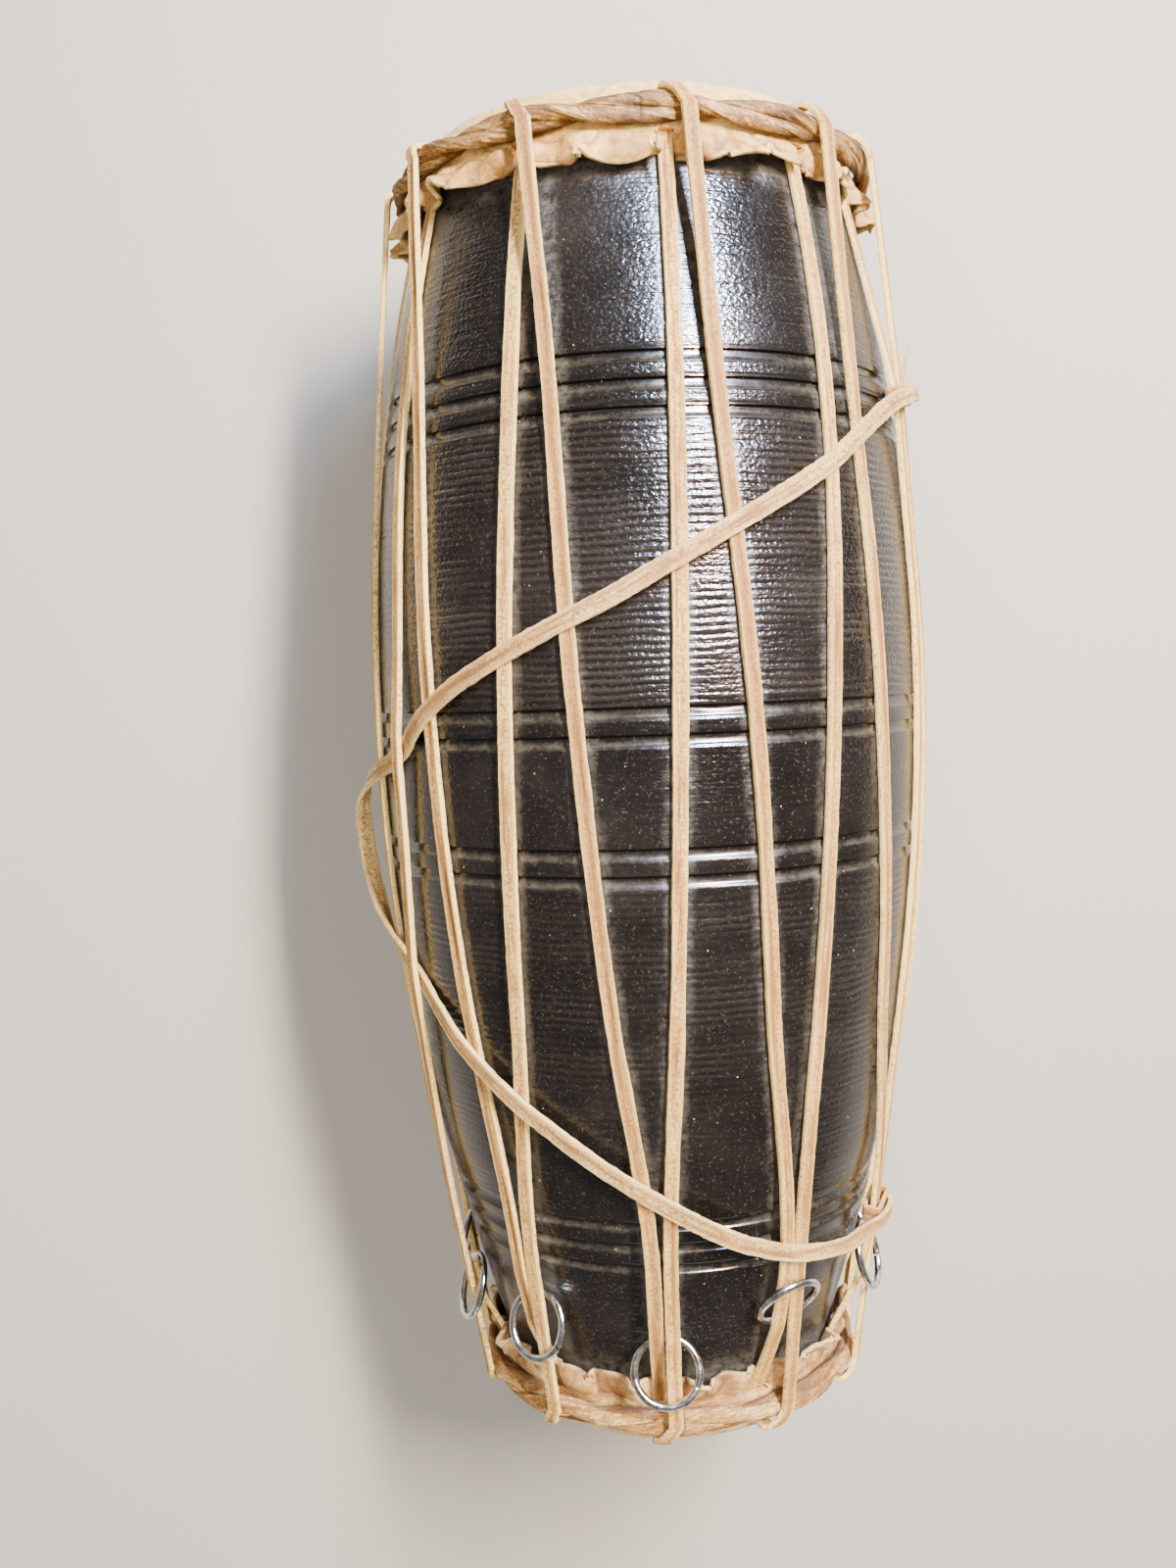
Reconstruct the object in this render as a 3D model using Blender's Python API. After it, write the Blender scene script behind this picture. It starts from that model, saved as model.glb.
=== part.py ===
"""Madal, a two-headed barrel drum.

The drum is modelled upright about its own Z axis, with the larger head up and z = 0 at the belly, the widest
place of the shell. One empty lays it on its side: the larger head then points along +Y, and an angle round the
drum counts from the top of the lying drum towards +X.
"""
import math
from types import SimpleNamespace

import bmesh
import bpy
from mathutils import Matrix, Vector

# Shell, in metres
BELLY_RADIUS = 0.100
LARGE_MOUTH_DISTANCE = 0.1915
LARGE_MOUTH_RADIUS = 0.0715
SMALL_MOUTH_DISTANCE = 0.2565
SMALL_MOUTH_RADIUS = 0.0555
WALL_AT_MOUTH = 0.009
WALL_AT_BELLY = 0.014
LIP_ROUNDING = 0.0015

# Skins and tuning paste
MAIN_SKIN = 0.0008
RING_SKIN = 0.0014
RING_SKIN_HOLE_SHARE = 0.58
PASTE_SHARE = 0.40
PASTE_THICKNESS = 0.0014
SKIRT_LENGTH_LARGE = 0.0095
SKIRT_LENGTH_SMALL = 0.0100
SKIRT_WAVES = 22
SKIRT_WAVE_HEIGHT = 0.0022
SKIRT_SCALLOP = 0.0016
SKIRT_LIFT = 0.0010

# Twisted hoop
HOOP_SETBACK = 0.010
HOOP_HEIGHT = 0.010
HOOP_DEPTH = 0.0062
HOOP_TWISTS = 6
HOOP_GROOVE = 0.26
HOOP_SLOPE_ROOM = 0.0005

# Rawhide lacing
THONG_WIDTH = 0.005
THONG_THICKNESS = 0.0020
THONG_GAP = 0.00045
LEG_PAIR_OFFSET = 0.00275
LEG_PAIR_AT_RING = 0.0029
SLOT_WIDTH = 0.0062
NOTCH_WIDTH = 0.0068
SLOT_START = 0.0032
SLOT_END_ROOM = 0.0005

# Tuning rings
RING_WIRE_RADIUS = 0.0013
RING_RADIUS = 0.011
RING_BUTT_GAP = 0.0005
RING_CLEARANCE = 0.00035
RING_SLANT_ROOM = 0.0016
RING_TRAVEL_LOW = -0.226
RING_TRAVEL_HIGH = -0.204

# Carrying strap
STRAP_WIDTH = 0.006
STRAP_THICKNESS = 0.0018
TIE_THICKNESS = 0.0015
TIE_WIDTH = 0.006
TIE_ROOM = 0.0004

# Between these places every leg lies on the shell, and past them one that goes over a hoop is off it
LAST_CONTACT_SMALL = -0.200
LAST_CONTACT_LARGE = 0.120
# Legs that nothing lifts, which the strap takes its height from
PLAIN_LEGS = (8, 9)

# Touching pieces keep this gap
GAP = 0.0003

# Where the lacing passes each hoop, in degrees round the drum, in the order that the thong is laced
LARGE_APEX_DEG = (-26.0, 8.0, 42.0, 67.0, 101.0, 135.0, 169.0, 204.0, 238.0, 272.0, 301.5)
SMALL_APEX_DEG = (-39.0, -4.0, 28.5, 66.0, 98.0, 130.0, 161.5, 193.0, 225.0, 256.5, 288.0)
# Legs on the upper side aren't quite straight: their angles at three places along the drum
LEG_BEND_PLACES = (0.100, 0.0, -0.100)
LEG_BENDS_DEG = {
    0: (-27.5, -28.8, -31.5),
    1: (-19.1, -15.6, -11.7),
    2: (4.7, 3.0, 0.9),
    3: (12.2, 16.2, 20.0),
    4: (37.1, 33.0, 31.0),
    5: (44.1, 46.0, 51.5),
    6: (64.2, 64.9, 64.5),
    7: (68.4, 70.5, 78.0),
    19: (281.0, 286.0, 284.5),
    20: (300.5, 302.3, 297.0),
    21: (308.6, 312.5, 315.2),
}
# Where each tuning ring lies along the drum, measured from the belly. Ring 2 is threaded the other way
RING_PLACES = (-0.214, -0.2255, -0.2055, -0.206, -0.212, -0.217, -0.210, -0.219, -0.213, -0.209, -0.215)
RINGS_THREADED_OVER = (2,)

# Strap route: degrees round the drum, place along it, and extra height over the legs that it crosses
STRAP_ROUTE = (
    (67.5, 0.1008, 0.0048),
    (61.0, 0.0985, 0.0046),
    (54.0, 0.0935, 0.0014),
    (44.3, 0.0835, 0.0),
    (34.7, 0.0727, 0.0),
    (23.5, 0.0620, 0.0),
    (11.6, 0.0508, 0.0),
    (1.2, 0.0410, 0.0),
    (-8.8, 0.0315, 0.0),
    (-19.5, 0.0230, 0.0),
    (-30.6, 0.0139, 0.0),
    (-39.5, 0.0062, 0.0),
    (-47.5, -0.0022, 0.0),
    (-52.6, -0.0080, -0.0011),
    (-57.6, -0.0140, -0.0023),
    (-64.0, -0.0190, -0.0012),
    (-71.0, -0.0240, 0.0003),
    (-78.0, -0.0300, 0.0015),
    (-83.5, -0.0400, 0.0030),
    (-86.0, -0.0530, 0.0042),
    (-85.0, -0.0660, 0.0036),
    (-80.5, -0.0765, 0.0018),
    (-74.0, -0.0835, 0.0003),
    (-68.0, -0.0890, -0.0012),
    (-62.3, -0.0945, -0.0023),
    (-54.5, -0.1035, -0.0012),
    (-46.5, -0.1145, 0.0),
    (-35.1, -0.1289, 0.0),
    (-24.5, -0.1405, 0.0),
    (-14.5, -0.1514, 0.0),
    (-2.5, -0.1635, 0.0),
    (10.6, -0.1758, 0.0),
    (20.0, -0.1820, 0.0),
    (29.5, -0.1865, 0.0),
    (43.6, -0.1900, 0.0),
    (53.0, -0.1892, 0.0004),
    (59.0, -0.1882, 0.0026),
    (65.5, -0.1868, 0.0028),
)
# The strap passes under leg 20 twice, and the ties pass under legs 6 and 7
STRAP_UNDER_LEG = 20
STRAP_UNDER_PLACES = (-0.0140, -0.0945)
LARGE_TIE_LEGS = (6, 7)
LARGE_TIE_PLACE = 0.100
SMALL_TIE_LEGS = (5, 6)
SMALL_TIE_PLACE = -0.1865

# Smoothness
SHELL_STEPS = 60
PASTE_STEPS = 24
SKIN_STEPS = 44
RING_SKIN_STEPS = 66
HOOP_STEPS = 60
HOOP_SIDES = 8
WIRE_STEPS = 18
LEG_STATION_START = -0.125
LEG_STATION_SPACING = 0.034
LEG_STATION_COUNT = 9

LEGS = 2 * len(LARGE_APEX_DEG)


def arc_radius(distance, mouth_radius):
    """Radius of the arc that the shell follows from the belly to a mouth."""
    drop = BELLY_RADIUS - mouth_radius
    return (distance**2 + drop**2) / (2 * drop)


LARGE_ARC = arc_radius(LARGE_MOUTH_DISTANCE, LARGE_MOUTH_RADIUS)
SMALL_ARC = arc_radius(SMALL_MOUTH_DISTANCE, SMALL_MOUTH_RADIUS)


def shell_radius(z):
    """Outer radius of the shell at a place along the drum."""
    arc = LARGE_ARC if z > 0 else SMALL_ARC
    return BELLY_RADIUS - arc + math.sqrt(arc**2 - z**2)


def make_head(side, name, mouth, mouth_radius, skirt):
    """Sizes of one head. Distances count from the belly towards that head, whichever side it is on."""
    head = SimpleNamespace(side=side, name=name, mouth=mouth, mouth_radius=mouth_radius)
    head.hoop = mouth - HOOP_SETBACK
    head.under_leg = shell_radius(side * head.hoop) + THONG_GAP + THONG_THICKNESS / 2
    head.main_inner = head.under_leg + THONG_THICKNESS / 2 + GAP
    head.ring_inner = head.main_inner + MAIN_SKIN + GAP
    head.hoop_inner = head.ring_inner + RING_SKIN + GAP + HOOP_SLOPE_ROOM
    head.hoop_middle = head.hoop_inner + HOOP_DEPTH / 2
    head.hoop_outer = head.hoop_inner + HOOP_DEPTH
    head.over_leg = head.hoop_outer + THONG_GAP + THONG_THICKNESS / 2
    head.skirt_end = head.hoop - HOOP_HEIGHT / 2 - skirt
    head.plane = mouth + 2 * GAP + MAIN_SKIN + RING_SKIN
    return head


LARGE = make_head(1, "large", LARGE_MOUTH_DISTANCE, LARGE_MOUTH_RADIUS, SKIRT_LENGTH_LARGE)
SMALL = make_head(-1, "small", SMALL_MOUTH_DISTANCE, SMALL_MOUTH_RADIUS, SKIRT_LENGTH_SMALL)
HEADS = (LARGE, SMALL)


def start_scene():
    """Removes what the scene holds and makes the two collections."""
    for old in list(bpy.data.objects):
        bpy.data.objects.remove(old)
    parts = bpy.data.collections.new("madal")
    cutters = bpy.data.collections.new("cutters")
    for group in (parts, cutters):
        bpy.context.scene.collection.children.link(group)
    return parts, cutters


PARTS, CUTTERS = start_scene()
AXIS = bpy.data.objects.new("drum_axis", None)
PARTS.objects.link(AXIS)


def material(name, colour, roughness, metallic=0.0):
    """A Principled material in one colour, given as linear red, green and blue."""
    made = bpy.data.materials.new(name)
    made.use_nodes = True
    shader = made.node_tree.nodes["Principled BSDF"]
    shader.inputs["Base Color"].default_value = (*colour, 1.0)
    shader.inputs["Roughness"].default_value = roughness
    shader.inputs["Metallic"].default_value = metallic
    return made


LACQUER = material("black_lacquered_wood", (0.012, 0.009, 0.010), 0.22)
MAIN_HIDE = material("goat_skin", (0.62, 0.47, 0.30), 0.6)
RING_HIDE = material("pale_hide", (0.66, 0.46, 0.26), 0.65)
PASTE = material("tuning_paste", (0.008, 0.008, 0.009), 0.5)
HOOP_HIDE = material("twisted_hide", (0.30, 0.20, 0.12), 0.7)
RAWHIDE = material("rawhide_thong", (0.70, 0.50, 0.28), 0.7)
STRAP_HIDE = material("rawhide_strap", (0.60, 0.42, 0.24), 0.7)
STEEL = material("bright_steel", (0.80, 0.80, 0.82), 0.15, 1.0)


def add_object(name, mesh, finish, group=None):
    """Links a mesh as a part that lies with the drum."""
    made = bpy.data.objects.new(name, mesh)
    (group or PARTS).objects.link(made)
    made.parent = AXIS
    if finish is not None:
        mesh.materials.append(finish)
    return made


def finish_mesh(bm, name):
    """Turns a bmesh into a mesh with its faces pointing out, shaded smooth."""
    bmesh.ops.remove_doubles(bm, verts=bm.verts, dist=1e-6)
    bmesh.ops.recalc_face_normals(bm, faces=bm.faces)
    mesh = bpy.data.meshes.new(name)
    bm.to_mesh(mesh)
    bm.free()
    mesh.shade_smooth()
    mesh.set_sharp_from_angle(angle=math.radians(40))
    return mesh


def spin_profile(profile, steps):
    """Spins a line of (radius, z) points round the Z axis."""
    bm = bmesh.new()
    points = [bm.verts.new((radius, 0.0, z)) for radius, z in profile]
    edges = [bm.edges.new(pair) for pair in zip(points, points[1:])]
    bmesh.ops.spin(
        bm, geom=points + edges, cent=(0, 0, 0), axis=(0, 0, 1),
        angle=math.tau, steps=steps, use_merge=True,
    )
    bmesh.ops.remove_doubles(bm, verts=bm.verts, dist=1e-6)
    return bm


def round_the_drum(degrees, radius, z):
    """The point at an angle round the drum, a radius and a place along it."""
    turn = math.radians(degrees)
    return Vector((radius * math.sin(turn), -radius * math.cos(turn), z))


def make_shell():
    """The hollowed barrel: an arc outside, a smoother arc inside, and a flat lip at each mouth."""
    rows = 5
    outer = []
    for head in (SMALL, LARGE):
        for row in range(rows):
            share = row / rows
            z = head.side * head.mouth * (1 - share)
            if row == 0:
                z -= head.side * LIP_ROUNDING
            outer.append((shell_radius(z), z))
    outer.append((BELLY_RADIUS, 0.0))
    outer.sort(key=lambda point: point[1])
    inner = []
    for share in (-1.0, -0.75, -0.5, -0.2, 0.2, 0.5, 0.75, 1.0):
        z = share * (LARGE.mouth if share > 0 else SMALL.mouth)
        wall = WALL_AT_BELLY + (WALL_AT_MOUTH - WALL_AT_BELLY) * abs(share)
        inner.append((shell_radius(z) - wall, z))
    lips = {
        1: [(LARGE.mouth_radius - LIP_ROUNDING, LARGE.mouth)],
        -1: [(SMALL.mouth_radius - LIP_ROUNDING, -SMALL.mouth)],
    }
    loop = outer + lips[1] + inner[::-1] + lips[-1]
    bm = spin_profile(loop + loop[:1], SHELL_STEPS)
    return add_object("shell", finish_mesh(bm, "shell"), LACQUER)


def over_thong(head, z):
    """Radius just clear of a thong that lies on the shell. z counts towards the head."""
    return shell_radius(head.side * z) + THONG_GAP + THONG_THICKNESS + GAP


def skin_profile(head):
    """The inner side of the main skin, from the centre of the head out over the lip and down past the hoop."""
    edge = head.mouth_radius + 0.0012
    inside = head.mouth + GAP
    return [
        (edge - 0.0016, inside),
        (edge - 0.0004, inside - 0.0004),
        (edge + 0.0006, inside - 0.0014),
        (head.main_inner, head.hoop + 0.0035),
        (head.main_inner, head.hoop),
        (over_thong(head, head.hoop - HOOP_HEIGHT / 2), head.hoop - HOOP_HEIGHT / 2),
    ]


def offset_outward(profile, distance):
    """Moves a line of points outwards by a distance, keeping its corners."""
    normals = []
    for (r0, z0), (r1, z1) in zip(profile, profile[1:]):
        run = Vector((r1 - r0, z1 - z0)).normalized()
        normals.append(Vector((-run.y, run.x)))
    moved = []
    for index, (radius, z) in enumerate(profile):
        before = normals[max(index - 1, 0)]
        after = normals[min(index, len(normals) - 1)]
        middle = (before + after).normalized()
        step = middle * (distance / max(middle.dot(after), 0.5))
        moved.append((radius + step.x, z + step.y))
    return moved


def closed_skin(inner, thickness):
    """Closes a skin's inner line with its outer one."""
    return inner + offset_outward(inner, thickness)[::-1]


def place_on_side(bm, head):
    """Turns a head that was modelled upwards to its own end of the drum."""
    if head.side < 0:
        bmesh.ops.scale(bm, vec=(1, 1, -1), verts=bm.verts)


def slot_boxes(head, has_skirt):
    """The two sizes of opening: a slot past the hoop, and a notch that lets the thong out through the skirt.

    Each is (inner radius, outer radius, low, high, width), with low and high counted towards the head.
    """
    slot_high = head.hoop + HOOP_HEIGHT / 2 + THONG_GAP + THONG_THICKNESS + SLOT_END_ROOM
    boxes = [(
        head.under_leg - THONG_THICKNESS, head.hoop_inner + HOOP_DEPTH / 3,
        head.hoop + SLOT_START, slot_high, SLOT_WIDTH,
    )]
    if has_skirt:
        reach = over_thong(head, head.skirt_end) + RING_SKIN + SKIRT_WAVE_HEIGHT + HOOP_DEPTH
        boxes.append((
            shell_radius(head.side * head.mouth), reach,
            head.skirt_end - HOOP_HEIGHT, head.hoop - HOOP_HEIGHT / 2, NOTCH_WIDTH,
        ))
    return boxes


def cut_slots(skin, head, name, has_skirt):
    """Cuts the openings that the thong goes through, at each of the hoop's lacing places."""
    bm = bmesh.new()
    for inside, outside, low, high, width in slot_boxes(head, has_skirt):
        for apex in range(LEGS // 2):
            turn = Matrix.Rotation(math.radians(under_leg_angle(head, apex) - 90), 4, "Z")
            place = Matrix.Translation(((inside + outside) / 2, 0, head.side * (low + high) / 2))
            size = Matrix.Diagonal((outside - inside, width, high - low, 1))
            bmesh.ops.create_cube(bm, size=1.0, matrix=turn @ place @ size)
    mesh = bpy.data.meshes.new(name)
    bm.to_mesh(mesh)
    bm.free()
    cutter = add_object(name, mesh, None, CUTTERS)
    cutter.hide_render = True
    cutter.display_type = "WIRE"
    cut = skin.modifiers.new("lacing_slots", "BOOLEAN")
    cut.operation = "DIFFERENCE"
    cut.object = cutter
    return cutter


def make_main_skin(head):
    """The skin that sounds, stretched over the mouth and held by the hoop."""
    inner = [(0.0, head.mouth + GAP)] + skin_profile(head)
    bm = spin_profile(closed_skin(inner, MAIN_SKIN), SKIN_STEPS)
    place_on_side(bm, head)
    name = f"{head.name}_main_skin"
    skin = add_object(name, finish_mesh(bm, name), MAIN_HIDE)
    cut_slots(skin, head, f"{name}_slots", has_skirt=False)
    return skin


def make_ring_skin(head):
    """The outer skin: an open ring on the head, and a ruffled skirt past the hoop."""
    over_main = MAIN_SKIN + GAP
    base = skin_profile(head)
    hole = head.mouth_radius * RING_SKIN_HOLE_SHARE
    line = offset_outward([(hole, head.mouth + GAP)] + base, over_main)
    skirt_start = line[-1][1]
    skirt_inner = shell_radius(head.side * (head.skirt_end - SKIRT_SCALLOP)) + SKIRT_LIFT
    start_radius = line[-1][0]
    for share in (0.5, 1.0):
        z = skirt_start + (head.skirt_end - skirt_start) * share
        line.append((start_radius + (skirt_inner - start_radius) * share, z))
    section = closed_skin(line, RING_SKIN)
    bm = spin_profile(section + section[:1], RING_SKIN_STEPS)
    for vert in bm.verts:
        share = (skirt_start - vert.co.z) / (skirt_start - head.skirt_end)
        if share <= 0.02:
            continue
        turn = math.atan2(vert.co.x, -vert.co.y)
        wave = (1 - math.cos(SKIRT_WAVES * turn)) / 2
        radius = math.hypot(vert.co.x, vert.co.y)
        swell = (radius + SKIRT_WAVE_HEIGHT * wave * share) / radius
        vert.co.x *= swell
        vert.co.y *= swell
        vert.co.z += SKIRT_SCALLOP * share * math.sin(SKIRT_WAVES / 2 * turn)
    place_on_side(bm, head)
    name = f"{head.name}_ring_skin"
    skin = add_object(name, finish_mesh(bm, name), RING_HIDE)
    cut_slots(skin, head, f"{name}_slots", has_skirt=True)
    return skin


def make_paste(head):
    """The tuning paste: a low black disc, thinner towards its edge."""
    radius = head.mouth_radius * PASTE_SHARE
    base = head.mouth + 2 * GAP + MAIN_SKIN
    profile = [
        (0.0, base), (radius, base), (radius, base + PASTE_THICKNESS * 0.4),
        (radius * 0.85, base + PASTE_THICKNESS * 0.8), (radius * 0.6, base + PASTE_THICKNESS),
        (0.0, base + PASTE_THICKNESS),
    ]
    bm = spin_profile(profile, PASTE_STEPS)
    place_on_side(bm, head)
    name = f"{head.name}_tuning_paste"
    return add_object(name, finish_mesh(bm, name), PASTE)


def bridge_sections(bm, sections, closed):
    """Skins a tube through sections with equal numbers of points, laid out by a rule."""
    rings = [[bm.verts.new(point) for point in section] for section in sections]
    count = len(rings[0])
    pairs = list(zip(rings, rings[1:]))
    if closed:
        pairs.append((rings[-1], rings[0]))
    for first, second in pairs:
        for side in range(count):
            after = (side + 1) % count
            bm.faces.new((first[side], first[after], second[after], second[side]))
    if not closed:
        bm.faces.new(rings[0][::-1])
        bm.faces.new(rings[-1])


def make_hoop(head):
    """The hoop: two rolls of hide twisted round each other, flattened against the drum."""
    bm = bmesh.new()
    sections = []
    for step in range(HOOP_STEPS):
        share = step / HOOP_STEPS
        section = []
        for side in range(HOOP_SIDES):
            lobe = math.tau * side / HOOP_SIDES
            angle = lobe + math.tau * HOOP_TWISTS * share
            size = 1 - HOOP_GROOVE * math.cos(lobe) ** 8
            radius = head.hoop_middle + HOOP_DEPTH / 2 * size * math.sin(angle)
            z = head.hoop + HOOP_HEIGHT / 2 * size * math.cos(angle)
            section.append(round_the_drum(360 * share, radius, z))
        sections.append(section)
    bridge_sections(bm, sections, closed=True)
    place_on_side(bm, head)
    name = f"{head.name}_hoop"
    return add_object(name, finish_mesh(bm, name), HOOP_HIDE)


def taut(points):
    """The line of a taut thong over (z, radius) points: their upper convex hull, from low z to high."""
    highest = {}
    for z, radius in points:
        highest[z] = max(radius, highest.get(z, 0.0))
    line = []
    for point in sorted(highest.items()):
        while len(line) > 1:
            (z0, r0), (z1, r1) = line[-2:]
            if (z1 - z0) * (point[1] - r0) - (r1 - r0) * (point[0] - z0) < 0:
                break
            line.pop()
        line.append(point)
    return line


def leg_radius(line, z):
    """Radius of a leg's middle at a place along the drum, read from its taut line."""
    for (z0, r0), (z1, r1) in zip(line, line[1:]):
        if z0 <= z <= z1:
            return r0 + (r1 - r0) * (z - z0) / (z1 - z0)
    return line[0][1] if z < line[0][0] else line[-1][1]


LEG_BASE = THONG_GAP + THONG_THICKNESS / 2
PLATEAU_LIFT = 2 * RING_WIRE_RADIUS + 2 * RING_CLEARANCE + RING_SLANT_ROOM
STRAP_LIFT = STRAP_THICKNESS + 2 * GAP
TIE_LIFT = TIE_THICKNESS + 3 * GAP


def leg_points(low, high, lifts=()):
    """(z, radius) points that a leg lies over: the shell between two places, and any lifts on it."""
    count = 40
    points = []
    for step in range(count + 1):
        z = low + (high - low) * step / count
        points.append((z, shell_radius(z) + LEG_BASE))
    for z, lift in lifts:
        points.append((z, shell_radius(z) + LEG_BASE + lift))
    return points


RING_UPPER_LOW = RING_TRAVEL_LOW + RING_RADIUS
RING_UPPER_HIGH = RING_TRAVEL_HIGH + RING_RADIUS
PLATEAU = ((RING_UPPER_LOW, PLATEAU_LIFT), (RING_UPPER_HIGH, PLATEAU_LIFT))
SMALL_SQUEEZE = -(SMALL.hoop - HOOP_HEIGHT / 2 - 0.001)
SMALL_UNDER_LEG = [(-SMALL.hoop, SMALL.under_leg), (SMALL_SQUEEZE, shell_radius(SMALL_SQUEEZE) + LEG_BASE)]
SMALL_UNDER_LEG += taut(leg_points(RING_UPPER_LOW, LARGE.hoop, PLATEAU))
SMALL_OVER_POINT = (-SMALL.hoop, SMALL.over_leg)
LARGE_OVER_POINT = (LARGE.hoop, LARGE.over_leg)


def lifts_of(leg):
    """Places where a leg is lifted by what passes under it."""
    half = STRAP_WIDTH / 2
    lifts = []
    if leg == STRAP_UNDER_LEG:
        for place in STRAP_UNDER_PLACES:
            lifts += [(place - 1.6 * half, STRAP_LIFT), (place + 1.6 * half, STRAP_LIFT)]
    if leg in LARGE_TIE_LEGS:
        lifts += [(LARGE_TIE_PLACE - 1.3 * half, TIE_LIFT), (LARGE_TIE_PLACE + 1.3 * half, TIE_LIFT)]
    return lifts


def leg_line(leg):
    """The taut line of one leg. Even legs pass over the small hoop, odd legs over the large one."""
    lifts = lifts_of(leg)
    if leg % 2 == 0:
        points = leg_points(LAST_CONTACT_SMALL, LARGE.hoop, lifts)
        return taut(points + [SMALL_OVER_POINT])
    squeezed = SMALL_UNDER_LEG[:2]
    points = leg_points(RING_UPPER_LOW, LAST_CONTACT_LARGE, lifts + list(PLATEAU))
    return squeezed + taut(points + [LARGE_OVER_POINT])


LEG_LINES = [leg_line(leg) for leg in range(LEGS)]


def under_leg_angle(head, apex):
    """Angle at which the thong comes from under the hoop at a lacing place."""
    apexes = LARGE_APEX_DEG if head is LARGE else SMALL_APEX_DEG
    return apexes[apex] - math.degrees(LEG_PAIR_OFFSET / head.under_leg)


def over_leg_angle(head, apex):
    """Angle at which the thong passes over the hoop at a lacing place."""
    apexes = LARGE_APEX_DEG if head is LARGE else SMALL_APEX_DEG
    return apexes[apex] + math.degrees(LEG_PAIR_OFFSET / head.over_leg)


def nearest_turn(angle, near):
    """The same angle, counted so that it lies within half a turn of another."""
    return angle + 360 * round((near - angle) / 360)


def leg_angles(leg):
    """Control points (z, degrees) of one leg, from the small hoop up to the large one."""
    apexes = LEGS // 2
    large_apex = leg // 2
    small_apex = (leg // 2 + leg % 2) % apexes
    if leg % 2 == 0:
        top = under_leg_angle(LARGE, large_apex)
        foot = over_leg_angle(SMALL, small_apex)
        side = 1
    else:
        top = over_leg_angle(LARGE, large_apex)
        foot = under_leg_angle(SMALL, small_apex)
        side = -1
    foot = nearest_turn(foot, top)
    centre = nearest_turn(SMALL_APEX_DEG[small_apex], top)
    low = centre + side * math.degrees(LEG_PAIR_OFFSET / leg_radius(LEG_LINES[leg], RING_UPPER_LOW))
    high = centre + side * math.degrees(LEG_PAIR_AT_RING / leg_radius(LEG_LINES[leg], RING_UPPER_HIGH))
    controls = [(-SMALL.hoop, foot), (RING_UPPER_LOW, low), (RING_UPPER_HIGH, high)]
    bends = LEG_BENDS_DEG.get(leg)
    if bends:
        for z, angle in sorted(zip(LEG_BEND_PLACES, bends)):
            controls.append((z, nearest_turn(angle, top)))
    controls.append((LARGE.hoop, top))
    return controls


def smooth_value(controls, z):
    """A value between control points, on a curve that doesn't overshoot them."""
    zs = [point[0] for point in controls]
    values = [point[1] for point in controls]
    slopes = [(values[i + 1] - values[i]) / (zs[i + 1] - zs[i]) for i in range(len(zs) - 1)]
    tangents = [slopes[0]]
    for before, after in zip(slopes, slopes[1:]):
        mean = 0.0 if before * after <= 0 else 2 * before * after / (before + after)
        tangents.append(mean)
    tangents.append(slopes[-1])
    z = min(max(z, zs[0]), zs[-1])
    index = next(i for i in range(len(zs) - 1) if z <= zs[i + 1])
    width = zs[index + 1] - zs[index]
    t = (z - zs[index]) / width
    return (
        (2 * t**3 - 3 * t**2 + 1) * values[index]
        + (t**3 - 2 * t**2 + t) * width * tangents[index]
        + (3 * t**2 - 2 * t**3) * values[index + 1]
        + (t**3 - t**2) * width * tangents[index + 1]
    )


def leg_angle(leg, z):
    """Angle of a leg at a place along the drum."""
    return smooth_value(leg_angles(leg), z)


def leg_stations(leg):
    """Places where a leg gets a section, from the small hoop to the large one."""
    places = [RING_UPPER_LOW, RING_UPPER_HIGH]
    places += [LEG_STATION_START + LEG_STATION_SPACING * index for index in range(LEG_STATION_COUNT)]
    places += [z for z, lift in lifts_of(leg)]
    if leg % 2:
        places += [SMALL_SQUEEZE, LEG_STATION_START - LEG_STATION_SPACING]
    if leg in SMALL_TIE_LEGS:
        places += [SMALL_TIE_PLACE + TIE_WIDTH / 2]
    places = sorted(places)
    kept = places[:1]
    for place in places[1:]:
        if place - kept[-1] > 0.0045:
            kept.append(place)
    return kept


def wrap_path(head):
    """The (z, radius) path of the thong round a hoop, from under it to over it. z counts towards the head."""
    wrap = HOOP_HEIGHT / 2 + LEG_BASE
    bend = 0.0018
    path = [(head.hoop, head.under_leg)]
    for degrees in (-90, -45, 0):
        turn = math.radians(degrees)
        path.append((head.hoop + wrap - bend + bend * math.cos(turn), head.under_leg + bend + bend * math.sin(turn)))
    depth = head.over_leg - head.hoop_middle
    for degrees in (5, 35, 62):
        turn = math.radians(degrees)
        path.append((head.hoop + wrap * math.cos(turn), head.hoop_middle + depth * math.sin(turn)))
    path.append((head.hoop, head.over_leg))
    return path


def thong_path():
    """The whole lacing as (z, radius, degrees) points, up the even legs and down the odd ones."""
    points = []
    turn = 0.0
    for leg in range(LEGS):
        stations = leg_stations(leg)
        head = LARGE if leg % 2 == 0 else SMALL
        if leg % 2:
            stations = stations[::-1]
        for z in stations:
            angle = nearest_turn(leg_angle(leg, z), turn)
            points.append((z, leg_radius(LEG_LINES[leg], z), angle))
            turn = angle
        apex = leg // 2 if head is LARGE else (leg // 2 + 1) % (LEGS // 2)
        under = nearest_turn(under_leg_angle(head, apex), turn)
        over = nearest_turn(over_leg_angle(head, apex), turn)
        path = wrap_path(head)
        for index, (z, radius) in enumerate(path):
            share = min(max((index - 3) / (len(path) - 4), 0.0), 1.0)
            points.append((head.side * z, radius, under + (over - under) * share))
        turn = over
    return points


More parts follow.
